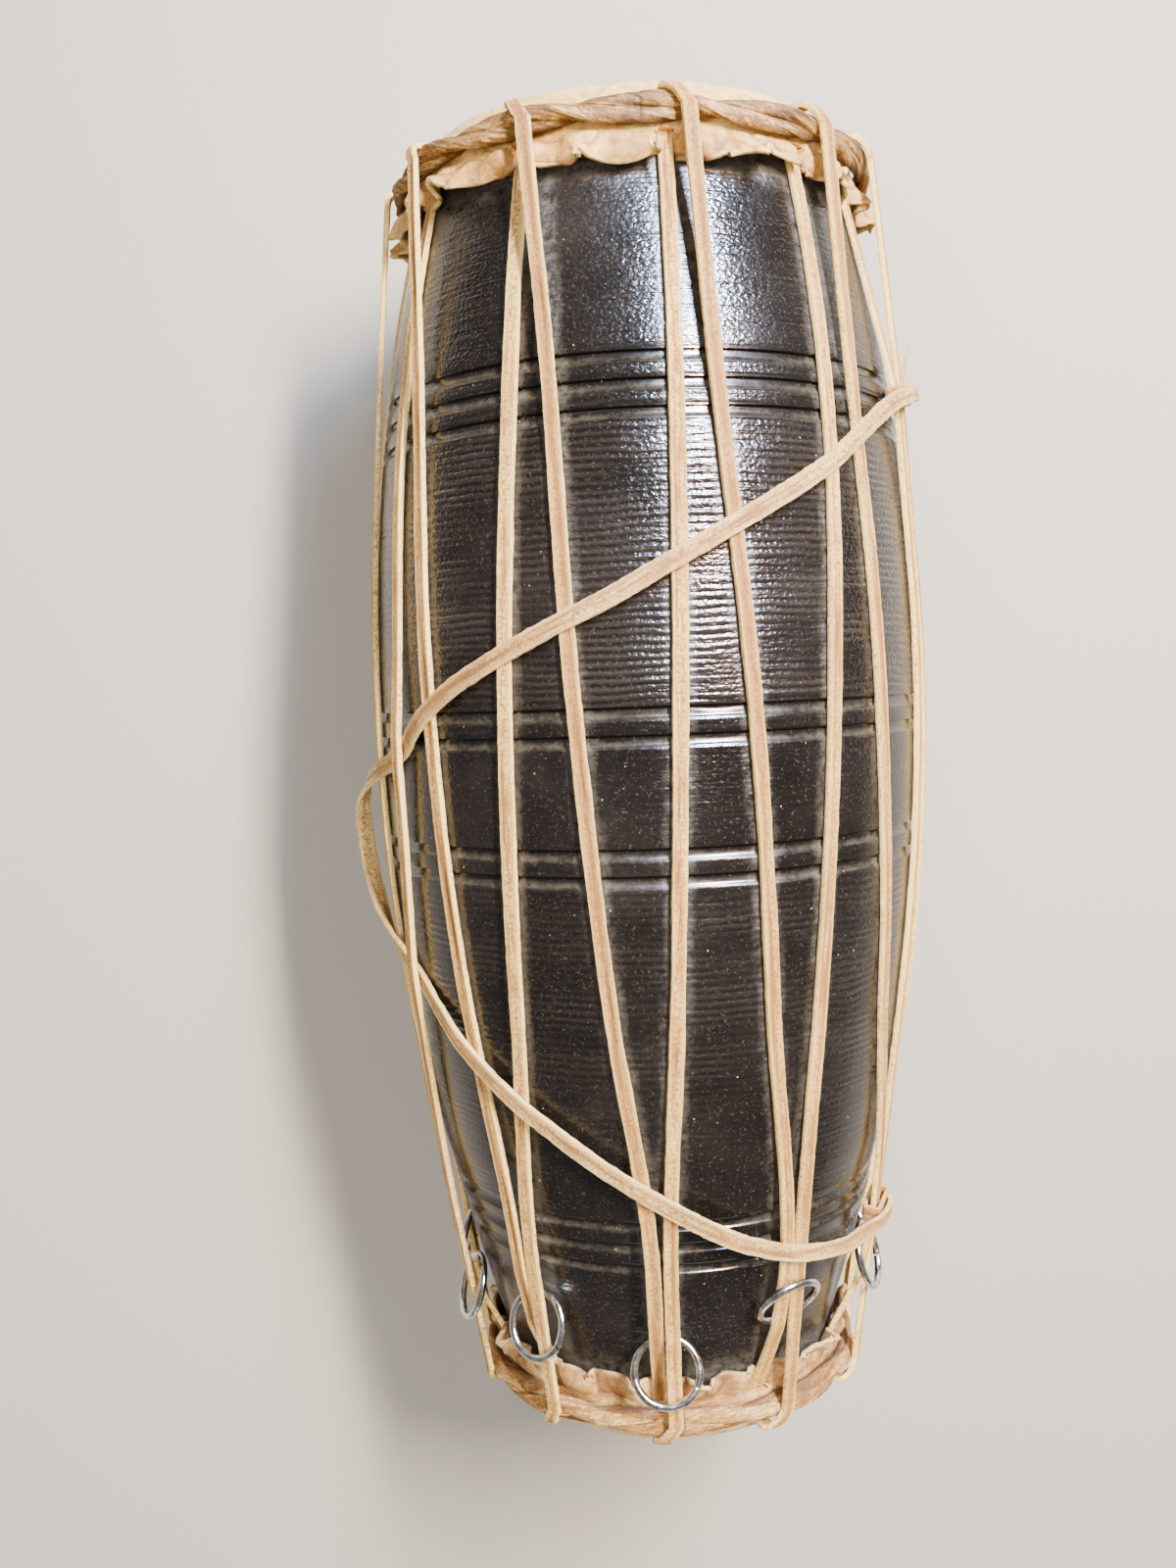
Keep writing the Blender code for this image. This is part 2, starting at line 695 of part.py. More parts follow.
def strip_section(before, here, after, width, thickness):
    """Four corners of a flat strip at one point of its (z, radius, degrees) path, square to its run."""
    run = Vector((after[0] - before[0], after[1] - before[1])).normalized()
    face = Vector((-run.y, run.x)) * thickness / 2
    z, radius, degrees = here
    turn = math.radians(degrees)
    across = Vector((math.cos(turn), math.sin(turn), 0)) * width / 2
    corners = []
    for side, layer in ((-1, -1), (1, -1), (1, 1), (-1, 1)):
        corners.append(round_the_drum(degrees, radius + layer * face.y, z + layer * face.x) + side * across)
    return corners


def make_lacing():
    """The lacing: one flat thong, round both hoops and back to its start."""
    path = thong_path()
    count = len(path)
    sections = []
    for index, here in enumerate(path):
        before, after = path[index - 1], path[(index + 1) % count]
        sections.append(strip_section(before, here, after, THONG_WIDTH, THONG_THICKNESS))
    bm = bmesh.new()
    bridge_sections(bm, sections, closed=True)
    return add_object("lacing_thong", finish_mesh(bm, "lacing_thong"), RAWHIDE)


def ring_ends(index, place):
    """Upper and lower wire centres of a tuning ring, as (z, radius), for a ring centred near a place.

    The upper side is the one towards the belly. A ring usually goes under both legs there and over them at
    its lower side, and a ring that is threaded over goes the other way.
    """
    over = index in RINGS_THREADED_OVER
    legs = LEG_LINES[2 * index], LEG_LINES[2 * index - 1]
    reach = RING_RADIUS
    clear = RING_WIRE_RADIUS + RING_CLEARANCE
    for _ in range(8):
        up, down = place + reach, place - reach
        low = shell_radius(down if over else up) + clear * 1.06
        outside = THONG_THICKNESS / 2 + clear * 1.03 + RING_SLANT_ROOM
        if over:
            high = max(leg_radius(leg, up) for leg in legs) + outside
            ends = (up, high), (down, low)
        else:
            high = max(leg_radius(leg, down) for leg in legs) + outside
            ends = (up, low), (down, high)
        length = math.dist(*ends)
        reach *= 2 * RING_RADIUS / length
    return ends


def ring_angle(index):
    """Angle of a tuning ring round the drum: the middle of its V."""
    return SMALL_APEX_DEG[index]


def make_tuning_ring(index):
    """One bent wire ring. Its origin is at its centre, its local Z is square to it and its local X points
    along the lacing towards the belly, with the butt joint at one side."""
    (up_z, up_r), (down_z, down_r) = ring_ends(index, RING_PLACES[index])
    curve = bpy.data.curves.new(f"tuning_ring_{index + 1:02d}", "CURVE")
    curve.dimensions = "3D"
    curve.bevel_depth = RING_WIRE_RADIUS
    curve.bevel_resolution = 1
    curve.use_fill_caps = True
    spline = curve.splines.new("POLY")
    spline.points.add(WIRE_STEPS)
    opening = RING_BUTT_GAP / RING_RADIUS
    for step, point in enumerate(spline.points):
        turn = math.radians(95) + opening / 2 + (math.tau - opening) * step / WIRE_STEPS
        point.co = (RING_RADIUS * math.cos(turn), RING_RADIUS * math.sin(turn), 0.0, 1.0)
    curve.materials.append(STEEL)
    ring = bpy.data.objects.new(curve.name, curve)
    PARTS.objects.link(ring)
    ring.parent = AXIS
    upper = round_the_drum(ring_angle(index), up_r, up_z)
    lower = round_the_drum(ring_angle(index), down_r, down_z)
    along = (upper - lower).normalized()
    turn = math.radians(ring_angle(index))
    across = Vector((math.cos(turn), math.sin(turn), 0))
    out = along.cross(across)
    ring.matrix_local = Matrix((along, across, out)).transposed().to_4x4()
    ring.location = (upper + lower) / 2
    return ring


def legs_outside(z):
    """Outer radius of the highest leg at a place along the drum."""
    middle = max(leg_radius(LEG_LINES[leg], z) for leg in PLAIN_LEGS)
    return middle + THONG_THICKNESS / 2


def strap_point(degrees, z, extra):
    """A point on the strap's middle line, as (z, radius, degrees)."""
    radius = legs_outside(z) + GAP + STRAP_THICKNESS / 2 + extra
    if z < -0.15:
        radius += GAP
    if extra < 0:
        radius = shell_radius(z) + THONG_GAP + THONG_THICKNESS + GAP + STRAP_THICKNESS / 2 + extra
    return z, radius, degrees


def curve_through(points, per_span):
    """A smooth line through points, with a few steps between each pair of them."""
    line = []
    for index in range(len(points) - 1):
        p0 = points[max(index - 1, 0)]
        p1, p2 = points[index], points[index + 1]
        p3 = points[min(index + 2, len(points) - 1)]
        for step in range(per_span):
            t = step / per_span
            line.append(0.5 * (
                2 * p1 + (p2 - p0) * t + (2 * p0 - 5 * p1 + 4 * p2 - p3) * t**2
                + (3 * p1 - p0 - 3 * p2 + p3) * t**3
            ))
    line.append(points[-1])
    return line


def outward_at(point):
    """Direction straight out of the shell at a point."""
    radial = Vector((point.x, point.y, 0)).normalized()
    arc = LARGE_ARC if point.z > 0 else SMALL_ARC
    return (radial + Vector((0, 0, point.z / arc))).normalized()


def flat_strip(bm, line, width, thickness):
    """A flat strip along a line of points, lying flat on the drum."""
    sections = []
    for index, point in enumerate(line):
        before, after = line[max(index - 1, 0)], line[min(index + 1, len(line) - 1)]
        run = (after - before).normalized()
        out = outward_at(point)
        out = (out - out.dot(run) * run).normalized()
        across = run.cross(out)
        sections.append([
            point + across * (side * width / 2) + out * (layer * thickness / 2)
            for side, layer in ((-1, -1), (1, -1), (1, 1), (-1, 1))
        ])
    bridge_sections(bm, sections, closed=False)


def strap_line():
    """The strap's middle line in space."""
    points = []
    for degrees, z, extra in STRAP_ROUTE:
        z, radius, degrees = strap_point(degrees, z, extra)
        points.append(round_the_drum(degrees, radius, z))
    return curve_through(points, 2)


def make_strap():
    """The carrying strap, one flat strip from tie to tie."""
    bm = bmesh.new()
    line = strap_line()
    flat_strip(bm, line, STRAP_WIDTH, STRAP_THICKNESS)
    length = sum((b - a).length for a, b in zip(line, line[1:]))
    print(f"strap length {length:.4f} m")
    return add_object("carrying_strap", finish_mesh(bm, "carrying_strap"), STRAP_HIDE)


def make_tie(name, legs, place):
    """A tie: a band of strap round a pair of legs, drawn together into a low knot on top of them."""
    middles = [leg_radius(LEG_LINES[leg], place) for leg in legs]
    middle = sum(middles) / 2
    ends = place - TIE_WIDTH / 2, place + TIE_WIDTH / 2
    first = min(leg_angle(legs[0], z) for z in ends)
    last = max(leg_angle(legs[1], z) for z in ends)
    degrees = (first + last) / 2
    half_width = math.radians(last - first) * middle / 2 + THONG_WIDTH / 2 + GAP + TIE_ROOM + TIE_THICKNESS / 2
    half_height = abs(middles[1] - middles[0]) / 2 + THONG_THICKNESS / 2 + GAP + TIE_ROOM + TIE_THICKNESS / 2
    turn = math.radians(degrees)
    across = Vector((math.cos(turn), math.sin(turn), 0))
    centre = round_the_drum(degrees, middle, place)
    out = Vector((math.sin(turn), -math.cos(turn), 0))
    slope = (leg_radius(LEG_LINES[legs[0]], place + 0.004) - leg_radius(LEG_LINES[legs[0]], place - 0.004)) / 0.008
    along = (Vector((0, 0, 1)) + out * slope).normalized()
    out = across.cross(along).normalized()
    if out.dot(centre) < 0:
        out = -out
    corner = 0.0009
    bm = bmesh.new()
    sections = []
    for x_side, y_side, start in ((1, 1, 0), (-1, 1, 90), (-1, -1, 180), (1, -1, 270)):
        for bend in (0, 45, 90):
            angle = math.radians(start + bend)
            x = x_side * (half_width - corner) + corner * math.cos(angle)
            y = y_side * (half_height - corner) + corner * math.sin(angle)
            face = Vector((math.cos(angle), math.sin(angle))) * TIE_THICKNESS / 2
            section = []
            for side, layer in ((-1, -1), (1, -1), (1, 1), (-1, 1)):
                section.append(
                    centre + across * (x + layer * face.x) + out * (y + layer * face.y)
                    + along * (side * TIE_WIDTH / 2)
                )
            sections.append(section)
    bridge_sections(bm, sections, closed=True)
    return add_object(name, finish_mesh(bm, name), STRAP_HIDE)


def build():
    """Makes every piece and lays the drum on its lacing."""
    make_shell()
    for head in HEADS:
        make_main_skin(head)
        make_ring_skin(head)
        make_paste(head)
        make_hoop(head)
    lacing = make_lacing()
    for index in range(LEGS // 2):
        make_tuning_ring(index)
    make_strap()
    make_tie("strap_tie_large", LARGE_TIE_LEGS, LARGE_TIE_PLACE)
    make_tie("strap_tie_small", SMALL_TIE_LEGS, SMALL_TIE_PLACE)
    lowest = max(vert.co.y for vert in lacing.data.vertices)
    AXIS.rotation_euler = (-math.pi / 2, 0, 0)
    AXIS.location = (0, (SMALL.plane - LARGE.plane) / 2, lowest)
    print(f"axis height {lowest:.5f} m, belly at y {AXIS.location.y:.5f} m")


build()
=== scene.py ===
# %% [markdown]
# # A madal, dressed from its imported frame
#
# A madal is a two-headed hand drum. It is one block of wood, turned on a lathe and hollowed, with a skin over
# each end. One long rawhide thong runs back and forth between the two heads and pulls them tight. The packed
# model gives every piece its place and size. This lesson gives each one its fine shape and its finish.

# %% Load the frame
import math

import bmesh
import bpy
from mathutils import Matrix, Vector, noise


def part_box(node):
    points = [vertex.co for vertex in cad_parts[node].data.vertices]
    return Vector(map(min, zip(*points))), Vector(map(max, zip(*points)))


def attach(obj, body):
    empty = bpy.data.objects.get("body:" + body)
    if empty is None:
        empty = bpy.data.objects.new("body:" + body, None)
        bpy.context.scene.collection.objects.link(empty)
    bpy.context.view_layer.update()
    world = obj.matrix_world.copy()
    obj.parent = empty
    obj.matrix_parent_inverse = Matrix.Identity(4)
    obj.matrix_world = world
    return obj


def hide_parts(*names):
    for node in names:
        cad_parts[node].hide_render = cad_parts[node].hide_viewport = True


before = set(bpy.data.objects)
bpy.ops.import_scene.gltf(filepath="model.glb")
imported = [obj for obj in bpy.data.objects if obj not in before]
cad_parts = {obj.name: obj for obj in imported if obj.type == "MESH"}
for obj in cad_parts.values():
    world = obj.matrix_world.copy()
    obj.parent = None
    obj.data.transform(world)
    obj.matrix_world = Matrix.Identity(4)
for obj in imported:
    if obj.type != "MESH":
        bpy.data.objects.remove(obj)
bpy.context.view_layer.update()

# %% [markdown]
# ## Where the drum lies
#
# The drum lies on its side along Y, with the larger head at +Y. Everything on it is placed by three numbers:
# an angle round the drum, counted from the top towards +X, a radius, and a place along it, counted from the
# belly, which is the widest part. The shell's own box gives the axis and the belly.

# %% The drum's own coordinates
MM = 0.001
SHELL_LOW, SHELL_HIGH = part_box("shell")
AXIS_Z = (SHELL_LOW.z + SHELL_HIGH.z) / 2
BELLY_RADIUS = (SHELL_HIGH.z - SHELL_LOW.z) / 2
LARGE_MOUTH, LARGE_MOUTH_RADIUS = 191.5 * MM, 71.5 * MM
SMALL_MOUTH, SMALL_MOUTH_RADIUS = 256.5 * MM, 55.5 * MM
BELLY_Y = SHELL_HIGH.y - LARGE_MOUTH
AXIS_POINT = Vector((0, BELLY_Y, AXIS_Z))


def on_drum(degrees, radius, place):
    """The point at an angle round the drum, a radius, and a place along it from the belly."""
    turn = math.radians(degrees)
    return Vector((radius * math.sin(turn), BELLY_Y + place, AXIS_Z + radius * math.cos(turn)))


def across_drum(degrees):
    """The direction round the drum at an angle."""
    turn = math.radians(degrees)
    return Vector((math.cos(turn), 0, -math.sin(turn)))


def angle_of(point):
    """The angle round the drum of a point, in degrees."""
    return math.degrees(math.atan2(point.x, point.z - AXIS_Z))


print("axis height", round(AXIS_Z, 5), "belly at y", round(BELLY_Y, 5))

# %% [markdown]
# ## The camera
#
# The photograph looks straight down on the drum, with the large head at the top of the picture. The camera
# was solved from the drum's outline: it stands about half a metre above the axis, tilted by a few degrees.

# %% The camera at the photograph's angle
CAMERA_OFFSET = Vector((-25.75 * MM, 6.8 * MM, 518.8 * MM))
CAMERA_TURNS = {"X": -4.289, "Y": -0.427, "Z": -2.243}
LENS_MM = 31.5
SENSOR_MM = 36.0

camera_data = bpy.data.cameras.new("camera")
camera_data.sensor_fit = "VERTICAL"
camera_data.sensor_height = SENSOR_MM
camera_data.lens = LENS_MM
camera_data.clip_start = 0.01
camera = bpy.data.objects.new("camera", camera_data)
bpy.context.scene.collection.objects.link(camera)
camera_turn = Matrix.Identity(4)
for axis_name in ("Z", "X", "Y"):
    camera_turn = camera_turn @ Matrix.Rotation(math.radians(CAMERA_TURNS[axis_name]), 4, axis_name)
camera.matrix_world = Matrix.Translation(AXIS_POINT + CAMERA_OFFSET) @ camera_turn
bpy.context.scene.camera = camera
print("camera at", [round(value, 4) for value in camera.location])

# %% [markdown]
# ## The shell's curve and how a thong lies on it
#
# Each half of the shell is an arc that is level at the belly. A taut thong follows the shell where it touches
# it and runs straight where it doesn't, so its height is the upper hull of all that lies under it. The legs of
# the lacing are numbered as they are laced: even legs come from under the large hoop and go over the small one.

# %% The shell's outer radius
def arc_radius(distance, mouth_radius):
    """Radius of the arc from the belly to a mouth."""
    drop = BELLY_RADIUS - mouth_radius
    return (distance**2 + drop**2) / (2 * drop)


LARGE_ARC = arc_radius(LARGE_MOUTH, LARGE_MOUTH_RADIUS)
SMALL_ARC = arc_radius(SMALL_MOUTH, SMALL_MOUTH_RADIUS)


def shell_radius(place):
    """Outer radius of the shell at a place along the drum."""
    arc = LARGE_ARC if place > 0 else SMALL_ARC
    return BELLY_RADIUS - arc + math.sqrt(arc**2 - place**2)


# %% Sizes of each end's stack of thong, skins and hoop
GAP = 0.3 * MM
THONG_GAP = 0.45 * MM
THONG_WIDTH = 5 * MM
THONG_THICKNESS = 2 * MM
MAIN_SKIN = 0.8 * MM
RING_SKIN = 1.4 * MM
HOOP_SETBACK = 10 * MM
HOOP_HEIGHT = 10 * MM
HOOP_DEPTH = 6.2 * MM
HOOP_SLOPE_ROOM = 0.5 * MM
LEG_BASE = THONG_GAP + THONG_THICKNESS / 2


class Head:
    """Sizes of one end. Places count from the belly towards that end."""

    def __init__(self, name, side, mouth, mouth_radius, skirt):
        self.name = name
        self.side = side
        self.mouth = mouth
        self.mouth_radius = mouth_radius
        self.hoop = mouth - HOOP_SETBACK
        self.under_leg = shell_radius(side * self.hoop) + LEG_BASE
        self.main_inner = self.under_leg + THONG_THICKNESS / 2 + GAP
        self.ring_inner = self.main_inner + MAIN_SKIN + GAP
        self.hoop_inner = self.ring_inner + RING_SKIN + GAP + HOOP_SLOPE_ROOM
        self.hoop_middle = self.hoop_inner + HOOP_DEPTH / 2
        self.over_leg = self.hoop_inner + HOOP_DEPTH + LEG_BASE
        self.skirt_end = self.hoop - HOOP_HEIGHT / 2 - skirt


LARGE = Head("large", 1, LARGE_MOUTH, LARGE_MOUTH_RADIUS, 9.5 * MM)
SMALL = Head("small", -1, SMALL_MOUTH, SMALL_MOUTH_RADIUS, 10 * MM)
HEADS = (LARGE, SMALL)
print("hoop middles", round(LARGE.hoop_middle, 4), round(SMALL.hoop_middle, 4))

# %% The lacing's places, as it was laced
LARGE_APEX_DEG = (-26.0, 8.0, 42.0, 67.0, 101.0, 135.0, 169.0, 204.0, 238.0, 272.0, 301.5)
SMALL_APEX_DEG = (-39.0, -4.0, 28.5, 66.0, 98.0, 130.0, 161.5, 193.0, 225.0, 256.5, 288.0)
APEXES = len(LARGE_APEX_DEG)
LEGS = 2 * APEXES
LEG_BEND_PLACES = (100 * MM, 0.0, -100 * MM)
LEG_BENDS_DEG = {
    0: (-27.5, -28.8, -31.5),
    1: (-19.1, -15.6, -11.7),
    2: (4.7, 3.0, 0.9),
    3: (12.2, 16.2, 20.0),
    4: (37.1, 33.0, 31.0),
    5: (44.1, 46.0, 51.5),
    6: (64.2, 64.9, 64.5),
    7: (68.4, 70.5, 78.0),
    19: (281.0, 286.0, 284.5),
    20: (300.5, 302.3, 297.0),
    21: (308.6, 312.5, 315.2),
}
LEG_PAIR_OFFSET = 2.75 * MM
LEG_PAIR_AT_RING = 2.9 * MM
RING_RADIUS = 11 * MM
WIRE_RADIUS = 1.3 * MM
RING_UPPER_LOW = -226 * MM + RING_RADIUS
RING_UPPER_HIGH = -204 * MM + RING_RADIUS
PLATEAU_LIFT = 2 * WIRE_RADIUS + 2 * 0.35 * MM + 1.6 * MM
SMALL_SQUEEZE = -(SMALL.hoop - HOOP_HEIGHT / 2 - 1 * MM)
STRAP_WIDTH = 6 * MM
STRAP_THICKNESS = 1.8 * MM
TIE_THICKNESS = 1.5 * MM
STRAP_UNDER_LEG = 20
STRAP_UNDER_PLACES = (-14.0 * MM, -94.5 * MM)
LARGE_TIE_LEGS, LARGE_TIE_PLACE = (6, 7), 100 * MM
SMALL_TIE_LEGS, SMALL_TIE_PLACE = (5, 6), -186.5 * MM


# %% The taut line of each leg
def taut(points):
    """The upper convex hull of (place, radius) points."""
    highest = {}
    for place, radius in points:
        highest[place] = max(radius, highest.get(place, 0.0))
    line = []
    for point in sorted(highest.items()):
        while len(line) > 1:
            (s0, r0), (s1, r1) = line[-2:]
            if (s1 - s0) * (point[1] - r0) - (r1 - r0) * (point[0] - s0) < 0:
                break
            line.pop()
        line.append(point)
    return line


def on_line(line, place):
    """The radius of a line of (place, radius) points at a place."""
    for (s0, r0), (s1, r1) in zip(line, line[1:]):
        if s0 <= place <= s1:
            return r0 + (r1 - r0) * (place - s0) / (s1 - s0)
    return line[0][1] if place < line[0][0] else line[-1][1]


def leg_points(low, high, lifts):
    """What a leg lies over: the shell between two places, and what lifts it."""
    points = []
    steps = 60
    for step in range(steps + 1):
        place = low + (high - low) * step / steps
        points.append((place, shell_radius(place) + LEG_BASE))
    for place, lift in lifts:
        points.append((place, shell_radius(place) + LEG_BASE + lift))
    return points


def lifts_of(leg):
    """Places where a strap or a tie that passes under a leg lifts it."""
    half = STRAP_WIDTH / 2
    lifts = []
    if leg == STRAP_UNDER_LEG:
        lift = STRAP_THICKNESS + 2 * GAP
        for place in STRAP_UNDER_PLACES:
            lifts += [(place - 1.6 * half, lift), (place + 1.6 * half, lift)]
    if leg in LARGE_TIE_LEGS:
        lift = TIE_THICKNESS + 3 * GAP
        lifts += [(LARGE_TIE_PLACE - 1.3 * half, lift), (LARGE_TIE_PLACE + 1.3 * half, lift)]
    return lifts


PLATEAU = [(RING_UPPER_LOW, PLATEAU_LIFT), (RING_UPPER_HIGH, PLATEAU_LIFT)]


def leg_line(leg):
    """The taut line of one leg, from the small hoop to the large one."""
    if leg % 2 == 0:
        points = leg_points(-200 * MM, LARGE.hoop, lifts_of(leg))
        return taut(points + [(-SMALL.hoop, SMALL.over_leg)])
    squeezed = [(-SMALL.hoop, SMALL.under_leg), (SMALL_SQUEEZE, shell_radius(SMALL_SQUEEZE) + LEG_BASE)]
    points = leg_points(RING_UPPER_LOW, 120 * MM, lifts_of(leg) + PLATEAU)
    return squeezed + taut(points + [(LARGE.hoop, LARGE.over_leg)])


LEG_LINES = [leg_line(leg) for leg in range(LEGS)]


# %% The angle of each leg along the drum
def hoop_angle(head, apex, over):
    """Angle of the thong at a lacing place, where it is over or under the hoop."""
    apexes = LARGE_APEX_DEG if head is LARGE else SMALL_APEX_DEG
    if over:
        return apexes[apex] + math.degrees(LEG_PAIR_OFFSET / head.over_leg)
    return apexes[apex] - math.degrees(LEG_PAIR_OFFSET / head.under_leg)


def same_turn(angle, near):
    """The same angle, within half a turn of another."""
    return angle + 360 * round((near - angle) / 360)


def leg_controls(leg):
    """Control points (place, degrees) of a leg."""
    large_apex = leg // 2
    small_apex = (leg // 2 + leg % 2) % APEXES
    over_small = leg % 2 == 0
    side = 1 if over_small else -1
    top = hoop_angle(LARGE, large_apex, not over_small)
    foot = same_turn(hoop_angle(SMALL, small_apex, over_small), top)
    centre = same_turn(SMALL_APEX_DEG[small_apex], top)
    low = centre + side * math.degrees(LEG_PAIR_OFFSET / on_line(LEG_LINES[leg], RING_UPPER_LOW))
    high = centre + side * math.degrees(LEG_PAIR_AT_RING / on_line(LEG_LINES[leg], RING_UPPER_HIGH))
    controls = [(-SMALL.hoop, foot), (RING_UPPER_LOW, low), (RING_UPPER_HIGH, high)]
    for place, angle in sorted(zip(LEG_BEND_PLACES, LEG_BENDS_DEG.get(leg, ()))):
        controls.append((place, same_turn(angle, top)))
    controls.append((LARGE.hoop, top))
    return controls


def smooth_value(controls, place):
    """A value between control points, on a curve that doesn't overshoot them."""
    places = [point[0] for point in controls]
    values = [point[1] for point in controls]
    slopes = [(values[i + 1] - values[i]) / (places[i + 1] - places[i]) for i in range(len(places) - 1)]
    tangents = [slopes[0]]
    for before, after in zip(slopes, slopes[1:]):
        tangents.append(0.0 if before * after <= 0 else 2 * before * after / (before + after))
    tangents.append(slopes[-1])
    place = min(max(place, places[0]), places[-1])
    index = next(i for i in range(len(places) - 1) if place <= places[i + 1])
    width = places[index + 1] - places[index]
    t = (place - places[index]) / width
    return (
        (2 * t**3 - 3 * t**2 + 1) * values[index]
        + (t**3 - 2 * t**2 + t) * width * tangents[index]
        + (3 * t**2 - 2 * t**3) * values[index + 1]
        + (t**3 - t**2) * width * tangents[index + 1]
    )


LEG_CONTROLS = [leg_controls(leg) for leg in range(LEGS)]


def leg_angle(leg, place):
    """Angle of a leg at a place along the drum, in degrees."""
    return smooth_value(LEG_CONTROLS[leg], place)


print("legs", LEGS)

# %% [markdown]
# ## Colours and nodes
#
# Colours are given as sRGB hex values, as a colour picker reads them, and Blender's nodes want linear values.
# One function does that, and one adds a node with its settings and links. The scale of a pattern always starts
# from its real size in millimetres.


# %% Helpers for materials
def linear(hex_colour):
    """Linear RGBA from an sRGB hex value such as #e0c08a."""
    channels = []
    for start in (1, 3, 5):
        value = int(hex_colour[start:start + 2], 16) / 255
        channels.append(value / 12.92 if value <= 0.04045 else ((value + 0.055) / 1.055) ** 2.4)
    return (*channels, 1.0)


def add_node(tree, kind, settings=None, inputs=None, output=0):
    """Adds a node with its settings and links, and gives back one of its outputs.

    A setting is one of the node's own, or the stops of its colour ramp. An input is a value, or an output of
    another node to link from.
    """
    node = tree.nodes.new("ShaderNode" + kind)
    for key, value in (settings or {}).items():
        if key == "stops":
            elements = node.color_ramp.elements
            while len(elements) < len(value):
                elements.new(0.5)
            for element, (position, colour) in zip(elements, value):
                element.position = position
                element.color = linear(colour)
        else:
            setattr(node, key, value)
    for key, value in (inputs or {}).items():
        if isinstance(value, bpy.types.NodeSocket):
            tree.links.new(value, node.inputs[key])
        else:
            node.inputs[key].default_value = value
    return node.outputs[output] if node.outputs else node


def new_tree(name):
    """An empty material and its tree."""
    material = bpy.data.materials.new(name)
    material.use_nodes = True
    material.node_tree.nodes.clear()
    return material, material.node_tree


def per_mm(*sizes):
    """Scale of a pattern whose repeats are this many millimetres along each axis."""
    return [1000 / size for size in sizes]


# The numbers that pick sockets of some nodes, and settings that come up in every material.
OBJECT_PLACE = 3
ATTRIBUTE_NUMBER = 2
MIXED_COLOUR = 2
COLOURS = {"data_type": "RGBA"}
TIMES = {"operation": "MULTIPLY"}
PLUS = {"operation": "ADD"}
TIMES_PLUS = {"operation": "MULTIPLY_ADD"}
